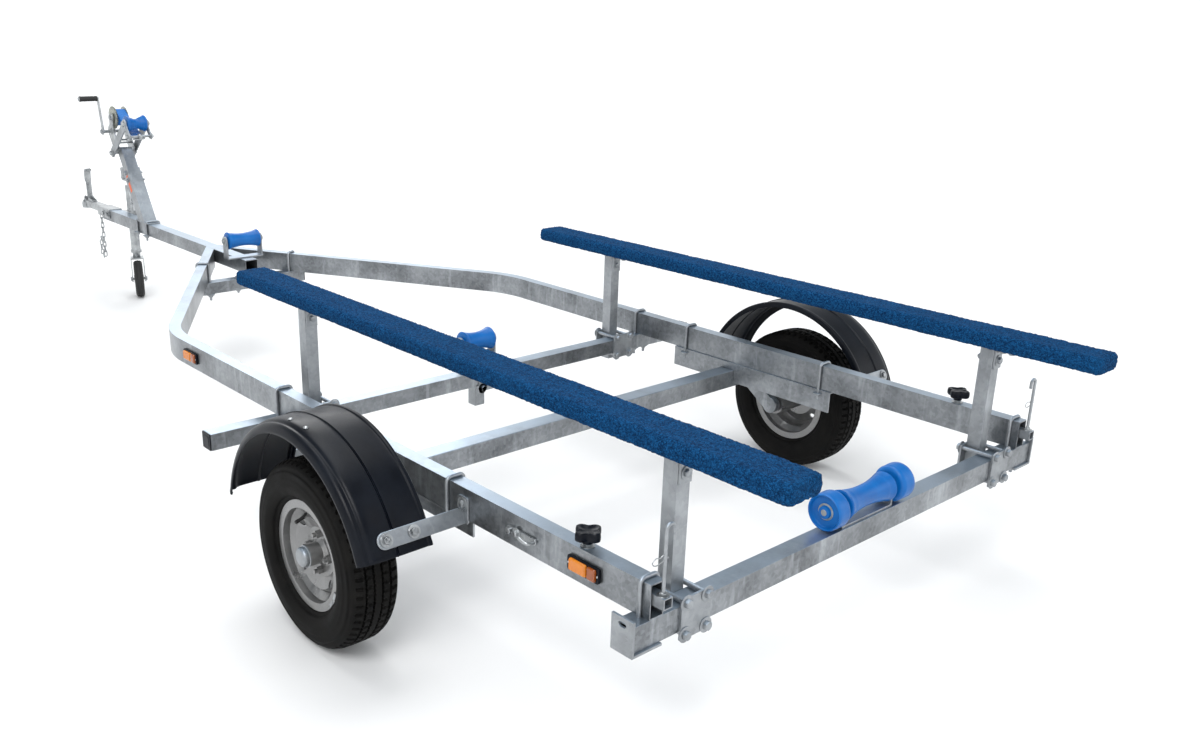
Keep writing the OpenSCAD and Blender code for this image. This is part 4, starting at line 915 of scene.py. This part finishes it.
def strap_piece(name, path, body, replaced, normals):
    """Webbing of the strap's width swept along a path; v runs across it and u along it, for the weave."""
    uv, rings, run = [], [], 0.0
    columns = range(STRAP_COLUMNS)
    for i, p in enumerate(path):
        if i:
            run += float(np.linalg.norm(p - path[i - 1]))
        ring = []
        for face, order in ((1, columns), (-1, reversed(columns))):
            for k in order:
                thick = STRAP_T / 2 * (0.45 if k in (0, STRAP_COLUMNS - 1) else 1.0)
                ring.append(((k / (STRAP_COLUMNS - 1) - 0.5) * STRAP_W,
                             face * thick + 0.0003 * sin(run * 300 + k)))
        rings.append([p + v * Y + h * normals[i] for v, h in ring])
        uv += [(run, v) for v, h in ring]
    make(name, Shape().rings(rings), WEBBING, body, replaced, angle=50, uv=uv)


def make_strap():
    """The wound layers, the free run down to the hook, its sewn end and the stitches."""
    centre = winch_at(DRUM_BACK, STRAP_Y, DRUM_UP)
    # the strap leaves the drum's back side, along the tangent that meets the hook
    hook = winch_at(-0.200, STRAP_Y, -0.034)
    r = 0.042 + 0.0003 + 0.00125
    u = unit(hook - centre)
    v = np.cross(Y, u)
    lift = acos(r / np.linalg.norm(hook - centre))
    leave = min([cos(lift) * u + sin(lift) * s * v for s in (1, -1)], key=lambda n: n @ LEAN_BACK)
    start = centre + leave * r
    along = unit(hook - start)
    start_angle = atan2(leave @ LEAN_UP, leave @ LEAN_BACK)
    spin = 1.0 if (np.cross(leave, along) @ Y) < 0 else -1.0
    path, normals = [], []
    steps = int(STRAP_TURNS * 44)
    for i in range(steps + 1):
        share = i / steps
        a = start_angle - spin * 2 * pi * STRAP_TURNS * (1 - share)
        n = ray(a, LEAN_BACK, LEAN_UP)
        path.append(centre + (ROLL_INSIDE + (ROLL_OUTSIDE - ROLL_INSIDE) * share) * n)
        normals.append(n)
    strap_piece("wound_strap_layers", path, "drum", ("wound_strap",), normals)
    free = np.linalg.norm(hook - start) - 0.0030
    path = [start + along * free * t - leave * 0.0022 * sin(pi * t) for t in np.linspace(0, 1, 45)]
    strap_piece("free_strap", path, "frame", ("winch_strap",), [leave] * len(path))
    over = leave * (STRAP_T + 0.0002)
    tail = [hook - along * (0.004 + 0.082 * (1 - t)) + over for t in np.linspace(0, 1, 15)]
    strap_piece("strap_sewn_end", tail, "frame", (), [leave] * len(tail))
    stitches = Shape()
    top = hook + leave * (STRAP_T * 1.5 + 0.0004)
    places = [(0.022 + row * 0.013, k * 0.0021, Y) for row in range(5) for k in range(-10, 11)]
    places += [(0.020 + k * 0.0023, side * 0.0205, along) for side in (-1, 1) for k in range(24)]
    for back, across, thread in places:
        p = top - along * back + Y * across
        stitches.rod(p - thread * 0.0008, p + thread * 0.0008, 0.00035, 6)
    make("strap_stitching", stitches, WHITE)


make_strap()


def make_crank_grip():
    """The grip's sleeve, with nine finger rings, and the nuts on the crank's two ends."""
    low, high = span("crank_grip")
    length = high[1] - low[1]
    line = mm((6.2, 0), (11.5, 0), (13.5, 1.2), (13.9, 4), (12.8, 10), (12.1, 16))
    for i in range(9):
        base = 0.018 + i * 0.0064
        line += [(0.0126, base), (0.0131, base + 0.0016), (0.0131, base + 0.0036), (0.0126, base + 0.0050)]
    line += [(0.0128, length - 0.014), (0.0138, length - 0.006), (0.0136, length - 0.0025), (0.0118, length),
             (0.0062, length)]
    place = (low + high) / 2
    place[1] = low[1]
    make("crank_grip_sleeve", Shape().hollow(line, place, Y, 40), BLACK_SOFT, "crank", ("crank_grip",),
         angle=30)
    shaft = winch_at(0, 0, PINION_UP)
    shaft[1] = low[1] - 0.001
    bits = Shape().nut(shaft, Y, 0.019, 0.009)
    bits.lathe(mm((12, 0), (12, 1.5), (9, 3), (0.3, 3.6)),
               place + Y * (length + 0.0002), Y, 24)
    make("crank_nut", bits, ZINC, "crank")


make_crank_grip()


def winch_details():
    """Nuts and pins of the winch frame, the ratchet's pawl, the post's bolts and a plain red strip."""
    s = Shape()
    for side in (-1, 1):
        s.nut(winch_at(DRUM_BACK, side * PLATE_Y, DRUM_UP), Y * side, 0.022, 0.007)
        s.lathe(mm((16, 0), (16, 2), (14.5, 3), (8.5, 3)),
                winch_at(0, side * PLATE_Y, PINION_UP), Y * side, 32)
        for back in (-0.016, 0.016):
            s.nut(winch_at(back, side * PLATE_Y, 0.020), Y * side, 0.016, 0.006)
        for back, up, across in ((BOW_BACK, BOW_UP, 0.024), (-0.226, -0.034, 0.019), (0.032, 0.006, 0.019)):
            s.nut(winch_at(back, side * BRACKET_Y, up), Y * side, across, 0.010)
    s.prism(capsule((0, 0), (0.045, 0.010), 0.008), winch_at(-0.012, -0.047, PINION_UP + 0.045),
            (LEAN_BACK, LEAN_UP, -Y), 0.005, 0.0008)
    s.hexagon(winch_at(-0.012, -0.052, PINION_UP + 0.045), -Y, 0.015, 0.006)
    # stiffening pins between the two plates
    for back, up in ((-0.012, 0.040), (0.014, 0.068)):
        s.rod(winch_at(back, -0.037, up), winch_at(back, 0.037, up), 0.005, 14)
    make("winch_fasteners", s, ZINC)
    post = Shape()
    for up in (-0.165, -0.125):
        post.bolt(winch_at(0, POST_SIDE, up), winch_at(0, -0.052, up), nut_at=2 * POST_SIDE)
    # U-bolts round the drawbar at the foot of the post
    for dx in (-0.058, 0.058):
        ubolt(post, at(POST_X + dx, 0, RAIL_TOP + 0.006), 0.030, 0.060, X)
    make("winch_post_fasteners", post, GALV_BRIGHT)
    strip = Shape().plate(winch_at(0.0, POST_SIDE + 0.00025, -0.170), (0.022, 0.120, 0.0006),
                          (LEAN_BACK, LEAN_UP, Y), 0.001, 0.0001)
    make("red_strip", strip, RED)


def ubolt(shape, top, half, depth, along, plate=True):
    """A round-rod U over a bar: top is on the bar's top face, half the bar's half width across.

    The plane of the U is across `along`; its legs pass the bar's sides and end in nuts under a plate.
    """
    r = BOLT_R
    across = unit(np.cross(Z, along))
    reach = half + r
    bend = min(0.012, half)
    foot = depth + 0.026
    path = [top - across * reach - Z * foot, top - across * reach - Z * (bend - r)]
    path += arc(top - across * (reach - bend) + Z * (r - bend), bend, 180, 90, across, Z, 6)
    path += arc(top + across * (reach - bend) + Z * (r - bend), bend, 90, 0, across, Z, 6)
    path.append(top + across * reach - Z * foot)
    shape.tube(path, r, 12)
    for side in (-1, 1):
        leg = top + across * side * reach - Z * depth
        shape.nut(leg - Z * 0.0055, -Z, r * 3.4, r * 1.6)
        shape.thread(leg - Z * (foot - depth - 0.002), -Z, r * 1.02, 0.006)
    if plate:
        shape.plate(top - Z * (depth + 0.003), (2 * reach + 0.034, 0.028, 0.005),
                    (across, np.cross(Z, across), Z), 0.005, 0.0008)


winch_details()

# ---------------------------------------------------------------- fittings

CROSS_Z = middle("bunk_crossmember")[2]
CROSS_HALF = 0.025
BUNK_CROSS_X = middle("bunk_crossmember")[0] - AXLE_X
FRONT_CROSS_X = 2.300
BEAM_X = middle("rear_beam")[0] - AXLE_X
BEAM_HALF_H = 0.030
BUNK_Y = 0.630
KNOB_X = -0.725
MARKER_XS = (-0.740, 1.180)
LEVER_X = -0.535
CLAMP_AHEAD = 0.045
FRONT_RAIL_Y, FRONT_BEND = 0.2122, radians(30)
STRAP_ANGLES = (GUARD_ANGLES[0] + 8, GUARD_ANGLES[1] - 7)
RAIL_MID = (RAIL_TOP + RAIL_BASE) / 2
RAIL_H = RAIL_TOP - RAIL_BASE


def make_end_caps():
    """Plugs in the left and right ends of the bunk cross-member and the front cross-member."""
    shape = Shape()
    for x, node in ((BUNK_CROSS_X, "bunk_crossmember"), (FRONT_CROSS_X, "front_crossmember")):
        base = at(x, span(node)[1][1] - 0.0002, CROSS_Z)
        for side, corner, inset, depth, edge in (
                (0.050, 0.004, 0.0, 0.0038, 0.0012), (0.034, 0.005, 0.0036, 0.0012, 0.0005),
                (0.042, 0.003, -0.012, 0.0125, 0.0)):
            shape.prism(rounded(side, side, corner), base + Y * inset, (X, Z, Y), depth, edge)
    make("end_cap_mouldings", mirrored(shape), BLACK, "frame", ("end_caps",))


def make_knobs():
    """Four-lobed clamp knobs with a dished top, on their threaded studs."""
    place = at(KNOB_X, RAIL_Y, RAIL_TOP)
    turn = np.linspace(0, 2 * pi, 72, endpoint=False)

    def lobes(scale, height):
        return [place + Z * height + (0.0285 + 0.0062 * cos(4 * a)) * scale * ray(a, X, Y) for a in turn]
    shape = Shape().rings([lobes(k, h) for k, h in (
        (0.40, 0.017), (0.86, 0.0185), (0.965, 0.021), (1.0, 0.025), (1.0, 0.033), (0.965, 0.0375),
        (0.88, 0.0395), (0.62, 0.0385), (0.55, 0.0372), (0.2, 0.0370))])
    shape.lathe(mm((11.5, 0), (12, 1), (12, 18.5)), place + Z * 0.008, Z, 32)
    make("clamp_knobs", mirrored(shape), BLACK, "frame", ("light_arm_knobs",), angle=42)
    studs = Shape().thread(place - Z * 0.018, Z, 0.0049, 0.030)
    studs.nut(place + Z * 0.0002, Z, 0.017, 0.0060)
    make("knob_studs", mirrored(studs), ZINC)


def make_markers():
    """Side lamps: a black base with a lens in two halves, bright amber and a deeper one."""
    base, bright, deep, screws = Shape(), Shape(), Shape(), Shape()
    for x in MARKER_XS:
        c = at(x, RAIL_OUT, RAIL_MID)
        base.prism(rounded(0.098, 0.036, 0.006), c + Y * 0.0002, (X, Z, Y), 0.0075, 0.0012)
        for half, middle_x, long in ((bright, 0.0135, 0.052), (deep, -0.0285, 0.026)):
            foot = c + X * middle_x + Y * 0.0056
            steps = ((0, 0), (0.0052, 0.0004), (0.0070, 0.0022), (0.0078, 0.0055), (0.0080, 0.012))
            half.rings([[foot + Y * h + X * p[0] + Z * p[1] for p in rounded(long - d, 0.029 - d, 0.004)]
                        for h, d in steps])
        for k in range(9):
            rib = c + X * (0.0365 - k * 0.0058) + Y * 0.0132
            bright.prism(rounded(0.0012, 0.024, 0.0005), rib, (X, Z, Y), 0.0008, 0.0002)
        for sx in (-0.0448, 0.0448):
            screws.lathe(mm((2.4, 0), (2.6, 0.6), (1.8, 1.6), (0.3, 1.8)),
                         c + X * sx + Y * 0.0076, Y, 14)
    make("marker_bases", mirrored(base), BLACK, "frame", ("side_markers",))
    make("marker_lenses", mirrored(bright), AMBER)
    make("marker_lens_ends", mirrored(deep), AMBER_DEEP)
    make("marker_screws", mirrored(screws), ZINC)


JOCKEY_TURN = radians(-20.0)
JOCKEY_AHEAD, JOCKEY_ACROSS = ray(JOCKEY_TURN, X, Y), ray(JOCKEY_TURN, Y, -X)


def make_jockey_wheel():
    """The ribbed tyre, a rim with eight webs a side, and the axle's nuts."""
    centre = middle("jockey_wheel")
    low, high = span("jockey_wheel")
    r, h = (high[2] - low[2]) / 2, 0.025
    tyre = [(r - 0.0290, -h + 0.0080), (r - 0.0240, -h + 0.0035), (r - 0.0200, -h + 0.0022),
            (r - 0.0100, -h + 0.0035),
            (r - 0.0050, -h + 0.0075), (r - 0.0022, -h + 0.0120), (r - 0.0010, -0.0100), (r - 0.0030,
                                                                                          -0.0085),
            (r - 0.0030, -0.0070), (r - 0.0004, -0.0055), (r, -0.0020)]
    tyre += [(a, -b) for a, b in tyre[::-1]]
    tyre += [(r - 0.0320, h - 0.0080), (r - 0.0320, -h + 0.0080)]
    make("jockey_tyre", Shape().hollow(tyre, centre, JOCKEY_ACROSS, 96), BLACK_SOFT, "jockey_roller",
         ("jockey_wheel",), angle=40)
    rim = [(0.00605, -h), (0.0190, -h), (0.0205, -h + 0.0015), (0.0210, -h + 0.0110), (0.0250, -0.0095),
           (0.0450, -0.0075), (0.0600, -0.0110), (r - 0.0345, -h + 0.0095), (r - 0.0318, -h + 0.0075)]
    rim += [(a, -b) for a, b in rim[::-1]]
    body = Shape().hollow(rim, centre, JOCKEY_ACROSS, 96)
    nuts = Shape()
    web = mm((-1.2, 0), (1.2, 0), (1.2, 36), (-1.2, 36))
    for side in (1, -1):
        across = side * JOCKEY_ACROSS
        for a in np.arange(8) * pi / 4:
            out = ray(a, JOCKEY_AHEAD, Z)
            cross = ray(a + pi / 2, JOCKEY_AHEAD, Z)
            body.prism(web, centre + out * 0.021 + across * 0.0065, (cross, out, across), 0.0060, 0.0006)
        nuts.nut(centre + across * 0.0345, across, 0.019, 0.0065)
    make("jockey_rim", body, GREY_RIM, "jockey_roller", angle=40)
    make("jockey_axle_nuts", nuts, ZINC, "jockey_swivel_fork")


def make_jockey_fittings():
    """The crank's grip, and the clamp's T-handle and nuts."""
    stem = middle("jockey_stem")
    grip = Shape().hollow([(0.0082, 0), (0.0115, 0.0), (0.0130, 0.0015), (0.0134, 0.006), (0.0120, 0.018),
                           (0.0118, 0.032), (0.0128, 0.046), (0.0136, 0.055), (0.0125, 0.0605), (0.0082,
                                                                                                 0.0610)],
                          (stem[0] + 0.074, stem[1], span("jockey_tube")[1][2] - 0.062), Z, 32)
    make("jockey_crank_grip", grip, ZINC, "jockey_outer")
    low, high = span("jockey_clamp")
    t = Shape()
    mid = np.array([low[0] + 0.004, low[1] + 0.010, (low[2] + high[2]) / 2])
    bar = mid - X * 0.046
    t.rod(mid, mid - X * 0.050, 0.0060, 16)
    t.nut(mid - X * 0.010, -X, 0.019, 0.009)
    t.rod(bar - Z * 0.042 - Y * 0.012, bar + Z * 0.042 + Y * 0.012, 0.0052, 16, edge=0.002)
    knob = mm((0.5, 0), (5.5, 1.2), (8.2, 4.5), (9, 9), (8, 13.5), (5.2, 16.5), (0.5, 17.5))
    for s in (-1, 1):
        t.lathe(knob, bar + s * (Z * 0.036 + Y * 0.0103), s * (Z * 0.042 + Y * 0.012), 20)
    for dz in (-0.017, 0.017):
        for dx in (0.012, 0.060):
            t.nut((low[0] + dx, low[1] + 0.001, mid[2] + dz), -Y, 0.016, 0.0065)
    make("jockey_clamp_screw", t, ZINC)


def make_coupling_lever():
    """A pressed handle that stands over the ball head, with finger ribs and a pivot bolt."""
    low, high = span("coupling_lever")
    back, front, foot, top = low[0], high[0], low[2], high[2]
    width = high[1] - low[1]
    s = Shape().prism(rounded(front - back, width, 0.006), ((back + front) / 2, 0, foot), (X, Y, Z), 0.0045,
                      0.0012)
    cheek = [(back, 0.0), (front, 0.0), (front, 0.020), (front - 0.004, 0.024), (back + 0.070, 0.024),
             (back + 0.030, 0.016), (back + 0.003, 0.010)]
    for side in (-1, 1):
        s.prism(cheek, (0, side * (width / 2 - 0.0035) - 0.0016, foot), (X, Z, Y), 0.0032, 0.0008)
    stalk = back + 0.064
    path = smooth_line([(stalk, 0, foot + 0.004), (stalk - 0.002, 0, foot + 0.050), (stalk, 0, foot + 0.100),
                        (stalk + 0.004, 0, top - 0.030), (stalk - 0.002, 0, top - 0.008),
                        (stalk - 0.012, 0, top - 0.002)], 8)
    s.sweep(path, rounded(0.030, 0.0085, 0.003), hint=X)
    make("coupling_handle", s, ZINC, "frame", ("coupling_lever",))
    sleeve = smooth_line([(stalk + 0.001, 0, foot + 0.108), (stalk + 0.004, 0, top - 0.032),
                          (stalk - 0.001, 0, top - 0.010), (stalk - 0.012, 0, top - 0.003)], 8)
    grip = Shape().sweep(sleeve, rounded(0.036, 0.0150, 0.005), hint=X)
    for k in range(5):
        rib = np.array([stalk + 0.0095, 0, foot + 0.112 + k * 0.0068])
        grip.rod(rib - Y * 0.014, rib + Y * 0.014, 0.0018, 10)
    make("coupling_handle_grip", grip, ZINC)
    pivot = np.array([stalk + 0.016, 0, foot + 0.013])
    bits = Shape().bolt(pivot + Y * (width / 2 + 0.001), pivot - Y * (width / 2 + 0.008), 0.0045,
                        width + 0.002)
    nose = span("drawbar")[1][0]
    y = 0.0352
    for x in (nose - 0.085, nose - 0.030):
        bits.bolt((x, y, RAIL_TOP - 0.024), (x, -y - 0.014, RAIL_TOP - 0.024), 0.006, nut_at=2 * y)
    make("coupling_bolts", bits, ZINC)


def make_bolts():
    """Bolts and U-bolts that join the frame's members, the posts and the roller brackets."""
    s = Shape()
    # the four bolts in each post clamp
    for x, half_h, ys in ((BEAM_X, BEAM_HALF_H, (BUNK_Y,)), (BUNK_CROSS_X, CROSS_HALF, (BUNK_Y, 0.0))):
        for y in ys:
            for dy in (-0.032, 0.032):
                for dz in (-1, 1):
                    p = at(x, y + dy, RAIL_BASE - half_h + dz * (half_h + 0.007))
                    s.nut(p - X * (CROSS_HALF + 0.006), -X, 0.019, 0.0095)
                    s.nut(p + X * (CROSS_HALF + 0.040 + 0.006), X, 0.019, 0.0095)
    # bunk brackets: a bolt into the post and two coach screws up into the board
    top = span("bunk_brackets")[1][2]
    for x in (BEAM_X + CLAMP_AHEAD, BUNK_CROSS_X + CLAMP_AHEAD):
        s.bolt(at(x - 0.0262, BUNK_Y, top - 0.036), at(x + 0.034, BUNK_Y, top - 0.036), nut_at=0.0462)
        for dx in (-0.036, -0.060):
            s.nut(at(x + dx, BUNK_Y, top - 0.006), -Z, 0.015, 0.0055)
    # U-bolts over the rails: two at each hanger, one at the rear beam and one at the bunk cross-member
    for x, depth, plate in ((-0.255, 0.006, False), (0.330, 0.006, False),
                            (RAIL_TAIL + 0.025, 2 * BEAM_HALF_H, True),
                            (BUNK_CROSS_X, 2 * CROSS_HALF, True)):
        ubolt(s, at(x, RAIL_Y, RAIL_TOP), RAIL_W / 2, RAIL_H + depth, X, plate)
    make("left_right_fasteners", mirrored(s), GALV_BRIGHT)
    u = Shape()
    for side in (1, -1):
        along = ray(FRONT_BEND, X, -side * Y)
        ubolt(u, at(FRONT_CROSS_X, side * FRONT_RAIL_Y, RAIL_TOP), RAIL_W / 2, RAIL_H + 2 * CROSS_HALF,
              along)
    for dy in (-0.055, 0.055):
        u.bolt(at(FRONT_CROSS_X, dy, RAIL_BASE + 0.0005), at(FRONT_CROSS_X, dy, RAIL_BASE - 0.068),
               nut_at=0.0508)
    make("front_fasteners", u, GALV_BRIGHT)
    # the keel rollers' spindles, and the bolt through the short post
    k = Shape()
    for place, reach in (("front", 0.0842), ("middle", 0.0692), ("rear", 0.1490)):
        for side in (1, -1):
            k.nut(middle(place + "_keel_roller") + Y * side * (reach + 0.0002), Y * side, 0.022, 0.007)
    x, z = BUNK_CROSS_X + CLAMP_AHEAD, middle("middle_keel_roller")[2] - 0.070
    k.bolt(at(x - 0.030, 0, z), at(x + 0.030, 0, z), nut_at=0.052)
    make("spindle_nuts", k, ZINC)


def make_guard_fittings():
    """Round-ended straps with a foot on the rail, their bolts, and two rivets on the guard's crown."""
    straps, bolts = Shape(), Shape()
    half = 0.020
    reach = GUARD_Y + GUARD_W * 0.75 - RAIL_OUT - half
    bar = [(-half, 0.0), (half, 0.0), (half, reach)]
    bar += [(half * cos(a), reach + half * sin(a)) for a in np.radians(np.arange(10, 171, 10))]
    bar += [(-half, reach)]
    for angle in STRAP_ANGLES:
        p, out = guard_point(angle, 0, 0.0003)
        straps.prism(bar, (p[0], RAIL_OUT + 0.0002, p[2]), (np.cross(Y, out), Y, out), 0.005, 0.0009)
        top, base = max(p[2], RAIL_BASE + 0.04) + half, min(p[2], RAIL_BASE + 0.04) - half
        straps.prism(rounded(2 * half, top - base, 0.009), (p[0], RAIL_OUT, (top + base) / 2), (X, Z, Y),
                     0.005, 0.0009)
        for across in (0.045, 0.120):
            p, out = guard_point(angle, across, 0.0065)
            bolts.nut(p, out, 0.017, 0.0065)
        p, out = guard_point(angle, 0, 0.0023)
        bolts.nut((p[0], RAIL_OUT + 0.0052, RAIL_MID), Y, 0.019, 0.008)
    make("mudguard_strap_bars", mirrored(straps), GALV_BRIGHT, "frame", ("mudguard_straps",))
    for angle in (84, 96):
        p, out = guard_point(angle, 0.150, -0.0008)
        bolts.lathe(mm((6.5, 0), (6.2, 1.2), (4, 3), (0.3, 3.6)), p, out, 20)
    make("mudguard_bolts", mirrored(bolts), ZINC)


def make_light_arm_clips():
    """A spring clip through each hooked pin, and a stop screw in each arm's end."""
    for side, name in ((1, "left"), (-1, "right")):
        low, high = span(name + "_light_arm")
        foot = np.array([low[0] + 0.015, side * RAIL_Y, high[2] - 0.080])
        wire = mm((-10, 4), (4, 0), (26, -4), (36, 4), (26, 12), (14, 9), (6, 13), (-4, 9))
        s = Shape().tube(smooth_line([foot + Y * across + Z * up for across, up in wire], 5), 0.0012, 8)
        s.nut((foot[0], foot[1], RAIL_TOP - 0.0225), Z, 0.014, 0.006)
        make(name + "_pin_clip", s, ZINC, name + "_light_slide")


def make_chain_tail():
    """The chain's last links, looped back up and tied to its middle."""
    low, high = span("safety_chain")
    s = Shape()
    wire, inner, half = 0.003, 0.0072, 0.0135
    # how far ahead and how high each link is, its tilt, and whether it is turned flat to the view
    for ahead, height, tilt, turned in ((0.0, 0.012, 24.0, False), (0.019, 0.030, -20.0, True),
                                        (0.023, 0.056, 8.0, False), (0.017, 0.082, 12.0, True),
                                        (0.008, 0.105, 30.0, False)):
        up = ray(radians(tilt), Z, X)
        side = Y if turned else np.cross(Y, up)
        c = np.array([(low[0] + high[0]) / 2 + ahead, 0.010, low[2] + height])
        loop = arc(c + up * (half - inner), inner, 0, 180, side, up, 8)
        loop += arc(c - up * (half - inner), inner, 180, 360, side, up, 8)
        s.tube(loop, wire, 10, caps=False, closed=True)
    make("chain_tail", s, ZINC)


def make_lashing():
    """Over-centre lashing levers on the rails, and the bolts of the tie-down plates."""
    s = Shape().prism(capsule((-0.042, 0), (0.042, 0), 0.0085), at(LEVER_X, RAIL_OUT + 0.0002, RAIL_MID),
                      (X, Z, Y), 0.0055, 0.0010)
    s.lathe(mm((8, 0), (8, 7.5), (7, 8.5), (0.3, 8.8)),
            at(LEVER_X + 0.038, RAIL_OUT + 0.0055, RAIL_MID), Y, 24)
    hook = smooth_line([(-0.044, 0.003, 0), (-0.0445, 0.014, 0), (-0.041, 0.0235, 0.001),
                        (-0.031, 0.0265, 0.003),
                        (-0.017, 0.0255, 0.006)], 6)
    s.tube([at(LEVER_X, RAIL_OUT, RAIL_MID) + p for p in hook], 0.0045, 14)
    s.nut(at(LEVER_X + 0.015, RAIL_OUT + 0.0056, RAIL_MID), Y, 0.014, 0.0055)
    make("lashing_levers", mirrored(s), ZINC, "frame", ("lashing_hooks",))
    t = Shape()
    end_y = span("rear_beam")[1][1]
    for dy in (0.020, 0.056):
        t.nut(at(BEAM_X, end_y - dy, RAIL_BASE - 2 * BEAM_HALF_H - 0.006), -Z, 0.017, 0.007)
    make("tie_down_bolts", mirrored(t), ZINC)


make_end_caps()
make_knobs()
make_markers()
make_jockey_wheel()
make_jockey_fittings()
make_coupling_lever()
make_bolts()
make_guard_fittings()
make_light_arm_clips()
make_lashing()
make_chain_tail()

# ---------------------------------------------------------------- stage


FLOOR_STEPS = 96
# (radius, height) of the floor, which is flat out to 22 m
FLOOR_LINE = ((0.001, 0.0), (6.0, 0.0), (12.0, 0.0), (22.0, 0.0), (26.0, 0.5), (29.0, 2.2), (31.0, 5.0),
              (32.0, 9.0), (32.0, 14.0))
# each light's name, place, aim, size and power
LIGHTS = (("key", (-4.5, 5.0, 6.5), (0, 0, 0.4), 3.5, 380.0), ("fill", (-7.0, -4.0, 4.5), (0, 0, 0.4), 5.0,
                                                               120.0),
          ("rim", (6.0, -3.0, 5.0), (0, 0, 0.5), 4.0, 180.0), ("top", (0.0, 0.0, 7.0), (0, 0, 0), 5.0,
                                                               320.0))


def make_floor():
    """A white floor that turns up into a wall far away, and is lit from within towards its edge."""
    mesh = bpy.data.meshes.new("floor")
    turn = [2 * pi * i / FLOOR_STEPS for i in range(FLOOR_STEPS)]
    verts = [(r * cos(a), r * sin(a), z) for r, z in FLOOR_LINE for a in turn]
    faces = []
    for a in range(len(FLOOR_LINE) - 1):
        low, high = a * FLOOR_STEPS, (a + 1) * FLOOR_STEPS
        faces += [(low + i, low + (i + 1) % FLOOR_STEPS, high + (i + 1) % FLOOR_STEPS, high + i)
                  for i in range(FLOOR_STEPS)]
    mesh.from_pydata(verts, [], faces)
    mesh.shade_smooth()
    floor = bpy.data.objects.new("floor", mesh)
    bpy.context.scene.collection.objects.link(floor)
    paint = Shader("floor_paint")
    mottle = paint.noise(2.0, 4.0)
    reach = paint.node("ShaderNodeVectorMath", "Value", {"operation": "LENGTH"}, Vector=paint.place)
    mesh.materials.append(paint.finish(
        Base_Color=paint.mix(mottle, grey(0.80), grey(0.84)), Roughness=0.85, Specular_IOR_Level=0.2,
        Emission_Color=grey(1.0), Emission_Strength=paint.span(reach, 2.2, 9.0, 0.0, 0.66)))


def make_light():
    """A pale blue world and four soft area lights."""
    world = bpy.data.worlds.new("soft_studio")
    world.use_nodes = True
    world.node_tree.nodes["Background"].inputs[0].default_value = (0.86, 0.94, 1.0, 1)
    world.node_tree.nodes["Background"].inputs[1].default_value = 0.36
    bpy.context.scene.world = world
    for name, place, aim, size, power in LIGHTS:
        data = bpy.data.lights.new(name, "AREA")
        data.energy, data.size = power, size
        lamp = bpy.data.objects.new(name, data)
        lamp.location = place
        lamp.rotation_mode = "QUATERNION"
        lamp.rotation_quaternion = (Vector(aim) - Vector(place)).to_track_quat("-Z", "Y")
        bpy.context.scene.collection.objects.link(lamp)
    bpy.context.scene.view_settings.view_transform = "Standard"


make_floor()
make_light()
